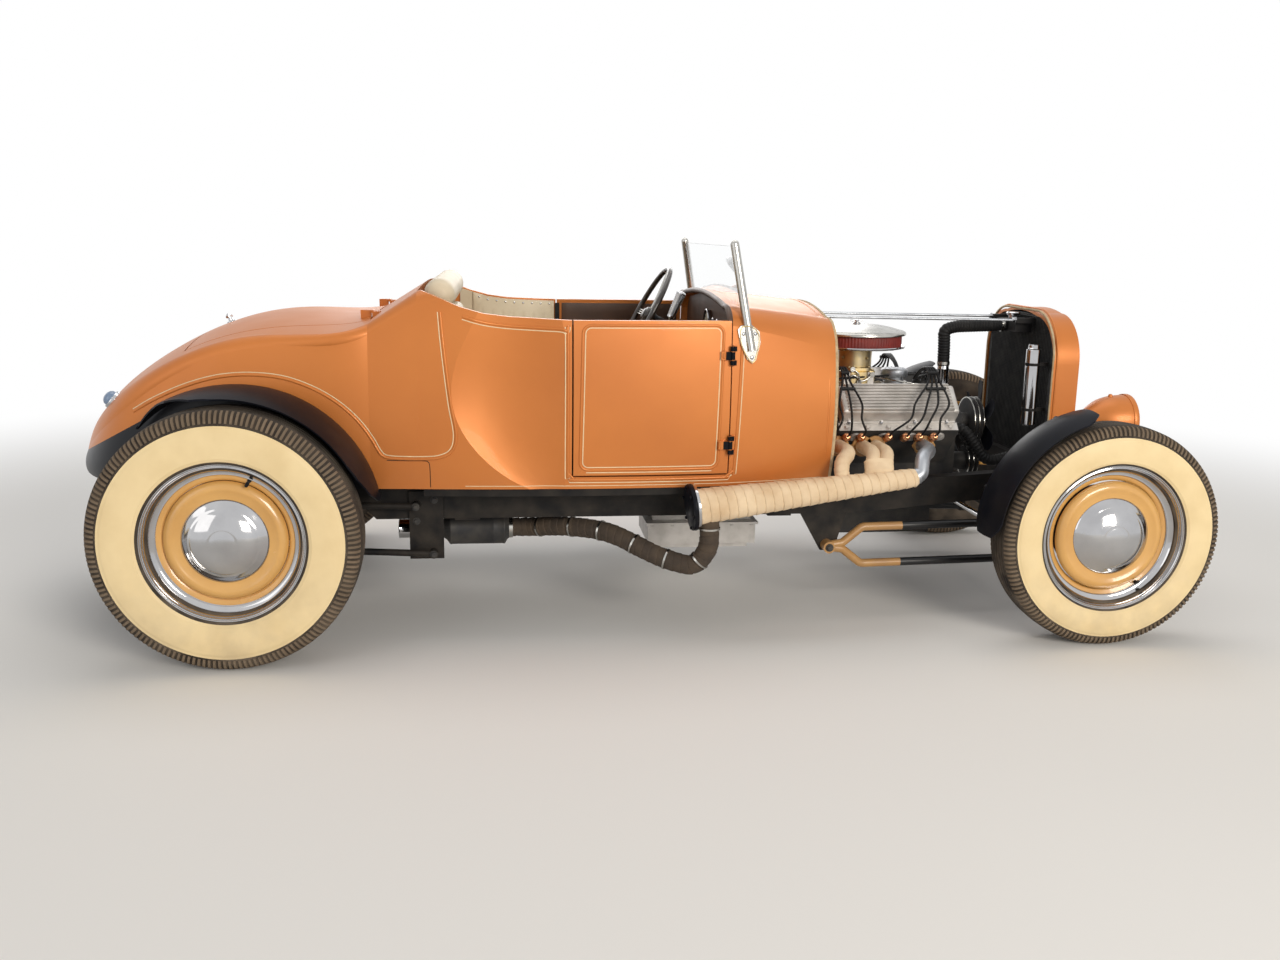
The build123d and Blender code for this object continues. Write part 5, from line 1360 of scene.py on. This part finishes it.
def makeFanDrive():
    # Pulleys are grooved profiles; the belt is a flat loop round three circles; blades twist outwards.
    def grooved(r):
        # The profile of a pulley for two belts.
        return [(-0.019, 0.0), (-0.019, r - 0.012), (-0.0185, r), (-0.0165, r), (-0.009, r - 0.013),
            (-0.006, r - 0.013), (-0.001, r), (0.001, r), (0.006, r - 0.013), (0.009, r - 0.013), (0.0165, r),
            (0.0185, r), (0.019, r - 0.012), (0.014, r - 0.02), (0.012, r * 0.45), (0.019, r * 0.35), (0.019, 0.0)]

    steel = [spun(grooved(0.088), (fan["x"], 0, fan["z"]), (1, 0, 0), 96),
        spun(grooved(0.06), (fan["x"], 0, fan["crank"]), (1, 0, 0), 80)]
    dark = [spun(mm([(0, 0), (0, 50), (14, 44), (50, 40), (56, 30), (80, 28), (80, 0)]), (1.2, 0, fan["z"]),
        (1, 0, 0), 40), spun(mm([(0, 0), (0, 34), (80, 34), (80, 0)]), (1.2, 0, fan["crank"]), (1, 0, 0), 32)]
    makePiece("pulleys", steel, "engine_iron", replaced=["fan_drive"])
    rims = [([(x - 0.0012, r - 0.004), (x - 0.0012, r + 0.0005), (x + 0.0012, r + 0.0005), (x + 0.0012, r - 0.004),
        (x - 0.0012, r - 0.004)], (fan["x"], 0, z), (1, 0, 0), 90) for x in (-0.0175, 0.0, 0.0175)
        for r, z in ((0.088, fan["z"]), (0.06, fan["crank"]))]
    makePiece("pulleyRims", [spun(*row) for row in rims], "polished_metal")
    dynamo = mm([(0, 0), (0, 40), (4, 53), (10, 56.5), (30, 56.5), (31, 55), (118, 55), (119, 56.5), (139, 56.5),
        (146, 52), (150, 36), (150, 12), (180, 12), (180, 0)])
    dark.append(spun(dynamo, (1.09, *fan["dynamo"]), (1, 0, 0), 48))
    wheel = mm([(-8, 0), (-8, 34), (-2, 26), (2, 26), (8, 34), (8, 0)])
    dark.append(spun(wheel, (1.275, *fan["dynamo"]), (1, 0, 0), 40))
    dark.append(roundedBlock((1.1, 0.1, 0.545), (1.14, 0.2, 0.575), 0.006))
    hub = mm([(19, 0), (19, 44), (26, 46), (34, 46), (37, 42), (37, 22), (43, 20), (43, 0)])
    dark.append(spun(hub, (fan["x"], 0, fan["z"]), (1, 0, 0), 44))
    makePiece("pumpAndDynamo", dark, "engine_iron")
    blades = []
    for k in range(6):
        a = k * turn / 6
        radial, side = np.array([0, -math.sin(a), math.cos(a)]), np.array([0, math.cos(a), math.sin(a)])
        r = np.linspace(0.036, 0.149, 14)[:, None, None]
        share = (r - 0.036) / 0.113
        wide = 0.021 + 0.014 * np.sin(share * math.pi * 0.62) - 0.012 * np.clip(share - 0.86, 0, 1) / 0.14
        pitch = np.radians(34 - 14 * share)
        chord = np.linspace(-1, 1, 7)
        chord = np.concatenate([chord, chord[::-1]])[None, :, None]
        thick = np.concatenate([np.full(7, 0.0011), np.full(7, -0.0011)])[None, :, None]
        bow = 0.0035 * (1 - chord ** 2)
        middle = np.array([fan["x"] + 0.029, 0, fan["z"]])
        blades.append(middle + radial * r + side * wide * chord * np.cos(pitch)
            + np.array([1.0, 0, 0]) * (wide * chord * np.sin(pitch) * 0.42 + bow + thick))
    for a in around(6, 0.2):
        at = fan["x"] + 0.0365, 0.033 * math.cos(a), fan["z"] + 0.033 * math.sin(a)
        blades.append(boltHead(at, (1, 0, 0), 0.006, 0.005))
    makePiece("fanBlades", blades, "fender_black")
    circles = [((0, fan["crank"]), 0.0515), (fan["dynamo"], 0.03), ((0, fan["z"]), 0.0795)]
    hull = []
    for (y, z), r in circles:
        angle = around(120)
        hull.append(np.stack([y + r * np.cos(angle), z + r * np.sin(angle)], -1))
    hull = np.vstack(hull)
    ways = np.linspace(0, turn, 361)[:-1]
    best = (hull @ np.stack([np.cos(ways), np.sin(ways)])).argmax(0)
    loop = hull[best[np.concatenate([[True], np.diff(best) != 0])]]
    loop = spread(np.vstack([loop, loop[:1]]), 161)[:-1]
    out = unit(np.stack([np.gradient(loop[:, 1]), -np.gradient(loop[:, 0])], -1))
    belts = []
    for x in (fan["x"] - 0.0075, fan["x"] + 0.0075):
        rows = []
        for across, lift in ((-0.0045, 0.004), (0.0045, 0.004), (0.003, -0.004), (-0.003, -0.004)):
            flat = loop + out * lift
            rows.append(np.stack([np.full(len(loop), x + across), flat[:, 0], flat[:, 1]], -1))
        belts.append((np.stack(rows, 1), True, True, 0))
    makePiece("fanBelts", belts, "hose_rubber")


# Lamps, radiator and small fittings
headLamp = dict(
    place=(1.548, 0.33, 0.664),
    knob=(1.662, 0.33, 0.744),
    back=mm([(0, 0), (1.2, 10), (7, 21.5), (24, 36.5), (45, 55), (75, 73.5), (110, 84.5), (145, 89), (166, 90)]),
    front=mm([(167.5, 89.5), (167.5, 84.5), (130, 78), (80, 58), (56, 30), (50, 0)]),
    ring=mm([(162, 84.5), (162, 92), (165, 93.2), (176, 93.2), (180, 91.5), (181.5, 87), (180, 83.8), (176, 83)]),
    glass=mm([(172, 0), (172, 84), (178, 83.8), (184, 76), (190, 58), (195, 30), (196.5, 0)]),
    mirror=mm([(166, 83.8), (131, 76.8), (81, 56.8), (58, 30), (52.5, 0), (51.5, 0), (56.5, 30), (79.5, 57.4),
        (130, 77.6), (166, 84.4)]),
)


tailLamp = dict(ring=mm([(-4, 20), (-4, 30.5), (5, 31), (8.5, 29), (9, 25.5), (4, 25)]),
    glass=mm([(0, 0), (0, 24.5), (9, 25.5), (17, 24), (24, 18.5), (28.5, 9.5), (29.5, 0)]))


def makeLamps():
    # Bowls, rims, lenses and mirrors are profiles along the car; the tail lamps stand square to the skin.
    spec, ahead = headLamp, (1, 0, 0)
    shell = [tuple(p) for p in smoothPath(spec["back"], 40)] + spec["front"]
    knob = mm([(0, 0), (0, 8.5), (8, 7.8), (12, 5.5), (13.8, 0)])
    places, knobs = ([np.array(spec[key]) * (1, way, 1) for way in sides.values()] for key in ("place", "knob"))
    bowls = [spun(shell, p, ahead, 72) for p in places] + [spun(knob, p, (0, 0, 1), 20) for p in knobs]
    makePiece("lampBowls", bowls, "body_paint", replaced=["headlight_buckets"])
    makePiece("lampGlasses", [spun(spec["glass"], p, ahead, 64) for p in places], "lens_glass",
        replaced=["headlight_rims"])
    makePiece("lampRings", [spun(spec["ring"] + spec["ring"][:1], p, ahead, 72) for p in places], "body_paint")
    makePiece("lampMirrors", [spun(spec["mirror"], p, ahead, 64) for p in places], "chrome")
    skin = skinTree(["tail_shell"])
    rings, glasses = [], []
    for way in sides.values():
        point, normal = skin.ray_cast(Vector((-2.2, way * 0.29, 0.736)), Vector((1, 0, 0)))[:2]
        normal = unit(np.array(normal) * (-1 if normal.x > 0 else 1))
        rings.append(spun(tailLamp["ring"], point, normal, 48))
        glasses.append(spun(tailLamp["glass"], point, normal, 40))
    makePiece("tailLampGlass", glasses, "lamp_blue", replaced=["tail_lamps"])
    makePiece("tailLampRings", rings, "chrome")


def makeRadiator():
    # The core's fins are one sheet that zigzags with height and narrows under the arch.
    archZ, archR, wide = 0.869, 0.15, 0.274
    z = np.arange(0.506, 1.016, 0.0028)
    rise = np.clip((z - archZ) / archR, 0, 1)
    half = wide - archR + archR * np.sqrt(1 - rise ** 2) - 0.004
    depth = 0.0016 * (np.arange(len(z)) % 2)
    rows = [(1.4685 - depth, -1), (1.4685 - depth, 1), (1.5312 + depth, 1), (1.5312 + depth, -1)]
    parts = [np.stack([np.stack([x + 0 * z, half * s, z], -1) for x, s in rows], 1)]
    for y in np.linspace(-0.246, 0.246, 42):
        top = archZ + archR * math.sqrt(max(0.0, 1 - max(0.0, (abs(y) - 0.124) / archR) ** 2)) - 0.012
        parts.append(rodGrid((1.4672, y, 0.508), (1.4672, y, top), 0.0016, 6))
    makePiece("radiatorFins", parts, "core_black")
    up = 0, 0, 1
    can = mm([(-137, 0), (-137, 20.5), (-132, 24.9), (131, 24.9), (136, 20.5), (138, 18.8), (147, 18.8),
        (149.5, 16.5), (150, 0)])
    cap = mm([(-4, 0), (-4, 18), (6, 18), (7, 24.5), (14, 25), (17.5, 21.5), (19, 0)])
    makePiece("radiatorBright", [spun(can, (1.413, -0.235, 0.77), up, 44), spun(cap, (1.433, 0, 1.0), up, 32)],
        "chrome")
    nuts = [boltHead((x, y, z), (way, 0, 0), 0.0095, 0.01) for y in (-0.105, 0.105)
        for x, z, way in ((0.6405, 1.0028, 1), (1.3955, 0.9946, -1))]
    makePiece("rodNuts", nuts, "chrome")
    band = mm([(-5, 24), (-5, 26.2), (5, 26.2), (5, 24), (-5, 24)])
    makePiece("canBands", [spun(band, (1.413, -0.235, z), up, 40) for z in (0.69, 0.85)], "frame_black")
    # cream binding and a bead round the shell's rear edge
    corner, reach = 0.165, 0.29
    angle = np.linspace(0, math.pi / 2, 20)
    arch = np.stack([-reach + corner - corner * np.cos(angle), 1.035 - corner + corner * np.sin(angle)], -1)
    arch = np.vstack([[(-reach, 0.506)], arch])
    line = spread(np.vstack([arch, arch[::-1] * (-1, 1)]), 240)
    out = outOf(line)
    for name, x, deep, thick, look, slot in (("shellLacing", 1.4655, 0.0045, 0.0042, "lacing", "header_wrap"),
            ("shellBead", 1.4755, -0.0015, 0.003, "body_paint", None)):
        makePiece(name, tube(upright(x, line - out * deep), thick, 10, (1, 0, 0)), look)


def helix(start, end, radius, turns, wire, count=220):
    # A wire that goes round the line between two points at an even rise.
    start, end = np.asarray(start, float), np.asarray(end, float)
    along = unit(end - start)
    side1 = unit(np.cross(along, (0, 1, 0)))
    side2 = np.cross(along, side1)
    share = np.linspace(0, 1, count)[:, None]
    angle = share * turns * turn
    path = start + (end - start) * share + radius * (side1 * np.cos(angle) + side2 * np.sin(angle))
    return tube(path, wire, 10, tuple(along))


def hugSheet(tree, x0, x1, z0, z1, way, proud, thick=0.003, cells=9):
    # A small plate that follows whatever the level rays meet.
    xs, zs = np.linspace(x0, x1, cells), np.linspace(z0, z1, cells)
    hits = [[meet(tree, (x, way, z), (0, -way, 0)) for z in zs] for x in xs]
    y = np.array([[h.y if h is not None else np.nan for h in row] for row in hits])
    y = np.where(np.isnan(y), np.nanmedian(y), y)
    face = np.stack([xs[:, None] + 0 * y, y + way * proud, zs[None, :] + 0 * y], -1)
    return slab(face, face - (0, way * thick, 0))


def makeDoorFittings(side, way):
    # Hinges turn round the door's own pin; seals and inner trim follow the leaf's inner skin by level rays.
    door, up = "door_" + side, (0, 0, 1)
    knuckle = [v.co.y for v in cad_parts[door].data.vertices if v.co.x > 0.2715]
    pin = np.array((0.2735, (min(knuckle) + max(knuckle)) / 2, 0))
    leaf, cowl = skinTree([door]), skinTree(["cowl"])
    plates, posts = [], []
    for z in (0.627, 0.911):
        plates += [spun(disc(-0.012, 0.012, 0.0076), pin + (0, 0, z), up, 24),
            hugSheet(leaf, 0.252, 0.269, z - 0.0128, z + 0.0128, way, 0.0018)]
        for step in (-0.022, 0.022):
            cap = mm([(-1, 0), (-1, 5.2), (1.5, 4.6), (2.8, 0)])
            sign = math.copysign(1, step)
            posts += [spun(disc(-0.0072, 0.0072, 0.0076), pin + (0, 0, z + step), up, 24),
                spun(cap, pin + (0, 0, z + step + sign * 0.008), (0, 0, sign), 16),
                hugSheet(cowl, 0.2775, 0.286, z + step - 0.0076, z + step + 0.0076, way, 0.0008)]
    makePiece("doorHinge_" + side, plates, "fender_black", body=door)
    makePiece("hingePosts_" + side, posts, "fender_black")

    def inside(x, z):
        # How far out the leaf's inner skin lies.
        return meet(leaf, (x, 0, z), (0, way, 0)).y

    zs, xs, panel = np.linspace(0.545, 1.004, 40), np.linspace(-0.205, 0.255, 40), np.linspace(0.556, 1.004, 24)
    face = np.array([[inside(x, z) for z in panel] for x in xs])
    soft = np.minimum(np.minimum(xs + 0.205, 0.255 - xs)[:, None], np.minimum(panel - 0.556, 1.004 - panel)[None])
    deep = 0.0012 + 0.003 * np.clip(soft / 0.012, 0, 1) ** 0.5
    wide, tall = xs[:, None] + 0 * face, panel[None, :] + 0 * face
    trim = makePiece("doorTrim_" + side, slab(np.stack([wide, face - way * deep, tall], -1),
        np.stack([wide, face + way * 0.002, tall], -1)), "dash_brown", body=door)
    # rubber strips close the view through the door's rear and lower gaps
    rear = np.array([inside(-0.216, z) for z in zs])
    low = np.array([inside(x, 0.56) for x in xs])
    rearSection = mm([(-231, 4), (-214, 4), (-214, 8.5), (-231, 11)])
    lowSection = mm([(515, 4.2), (548, 4.2), (548, 9), (515, 10)])
    makePiece("doorSeals_" + side,
        [np.stack([np.stack([np.full(40, x), rear - way * d, zs], -1) for x, d in rearSection], 1),
        np.stack([np.stack([xs, low - way * d, np.full(40, z)], -1) for z, d in lowSection], 1)], "hose_rubber")


def makeSideFittings(side, way):
    # Panel seam, coil spring and the bolts on the brackets, which stand where level rays meet them.
    seam = smoothPath(mm([(-800, 582), (-740, 581), (-690, 581), (-674, 578), (-669, 565), (-668, 530),
        (-668, 496)]), 80)
    makePiece("panelSeam_" + side, laid(skinTree(["tub", "tail_shell"]), seam, way, 0.0026, 0.0005), "core_black")
    foot, head = flip((-1.3215, -0.322, 0.404), way), flip((-1.404, -0.322, 0.55), way)
    makePiece("coilSpring_" + side, helix(foot, head, 0.0345, 7.5, 0.0052), "lamp_blue")
    brackets, rods, out = skinTree(["rear_links", "frame_crossmembers"]), skinTree(["wishbones"]), (0, way, 0)
    bolts = []
    for x, z in ((-0.722, 0.414), (-0.668, 0.256), (-0.665, 0.43), (-0.722, 0.36)):
        hit = meet(brackets, (x, way, z), (0, -way, 0))
        if hit is not None:
            bolts += [spun(disc(0.0, 0.0022, 0.0125), hit, out, 24),
                boltHead(np.array(hit) + (0, way * 0.002, 0), out, 0.0088, 0.008)]
    hit = meet(rods, (0.645, way, 0.256), (0, -way, 0))
    bolts += [spun(disc(0.0, 0.0025, 0.0135), hit, out, 24),
        boltHead(np.array(hit) + (0, way * 0.0025, 0), out, 0.0095, 0.009)]
    makePiece("frameBolts_" + side, bolts, "engine_iron")


def makeFittings():
    # Fittings of both sides, then the gearbox pan, the lid's handle and the clips of the front spring.
    for side, way in sides.items():
        makeDoorFittings(side, way)
        makeSideFittings(side, way)
    pan = [boltHead((x, y, 0.2625), (0, 0, -1), 0.006, 0.006)
        for y in (-0.142, 0.142) for x in np.linspace(0.085, 0.445, 6)]
    pan += [roundedBlock((0.095, y - 0.004, 0.184), (0.435, y + 0.004, 0.192), 0.003) for y in (-0.105, 0.105)]
    pan += [roundedBlock((x - 0.004, -0.12, 0.1845), (x + 0.004, 0.12, 0.192), 0.003)
        for x in np.linspace(0.12, 0.41, 7)]
    makePiece("gearboxPanBolts", pan, "cast_alloy")
    rear = min((v.co.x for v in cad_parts["deck_lid"].data.vertices)) + 0.06
    point, normal = skinTree(["deck_lid"]).ray_cast(Vector((rear, 0.001, 2.0)), Vector((0, 0, -1)))[:2]
    point, normal = np.array(point), unit(np.array(normal) * (1 if normal.z > 0 else -1))
    knob = mm([(-1, 0), (-1, 16), (3, 15.5), (5, 8), (20, 6.5), (22, 0)])
    bar = smoothPath([point + normal * rise + (0, y, 0) for y, rise in ((-0.034, 0.019), (-0.012, 0.024),
        (0.012, 0.024), (0.034, 0.019))], 24)
    swell = 0.0045 + 0.002 * np.sin(np.linspace(0, math.pi, 24))
    makePiece("lidHandle", [spun(knob, point, normal, 28), tube(bar, swell[:, None], 14)], "chrome", body="deck_lid")
    leaves = [v.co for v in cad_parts["front_spring"].data.vertices]
    clips = []
    for y in (-0.075, 0.075, -0.33, 0.33):
        high = max((co.z for co in leaves if abs(co.y - y) < 0.05))
        clips.append(roundedBlock((1.444, y - 0.009, high - 0.045), (1.506, y + 0.009, high + 0.004), 0.006))
    makePiece("springClips", clips, "frame_black")


makeCamera()
makeStage()
print("camera and stage")
for name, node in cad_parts.items():
    for slot in node.material_slots:
        slotName = slot.material.name.split(".")[0] if slot.material else ""
        if slotName in looks:
            slot.material = looks[nodeLooks.get(name, slotName)]
print("finishes of the CAD nodes")
for where in tyres:
    for side in sides:
        makeTyre(where, side)
        makeWheel(where, side)
print("tyres and wheels")
makeBodyLines()
makeEdgeTrims()
print("body lines")
makeSeat()
makeSideTrim()
makeDash()
makeSteering()
makeLevers()
makeScreen()
print("cockpit")
makeHeaders()
makeExhaust()
print("headers and exhaust")
makeValveCovers()
makeLeads()
makeAirCleaner()
makeCarburettor()
makeHoses()
makeFanDrive()
print("engine")
makeLamps()
makeRadiator()
makeFittings()
print("fittings")
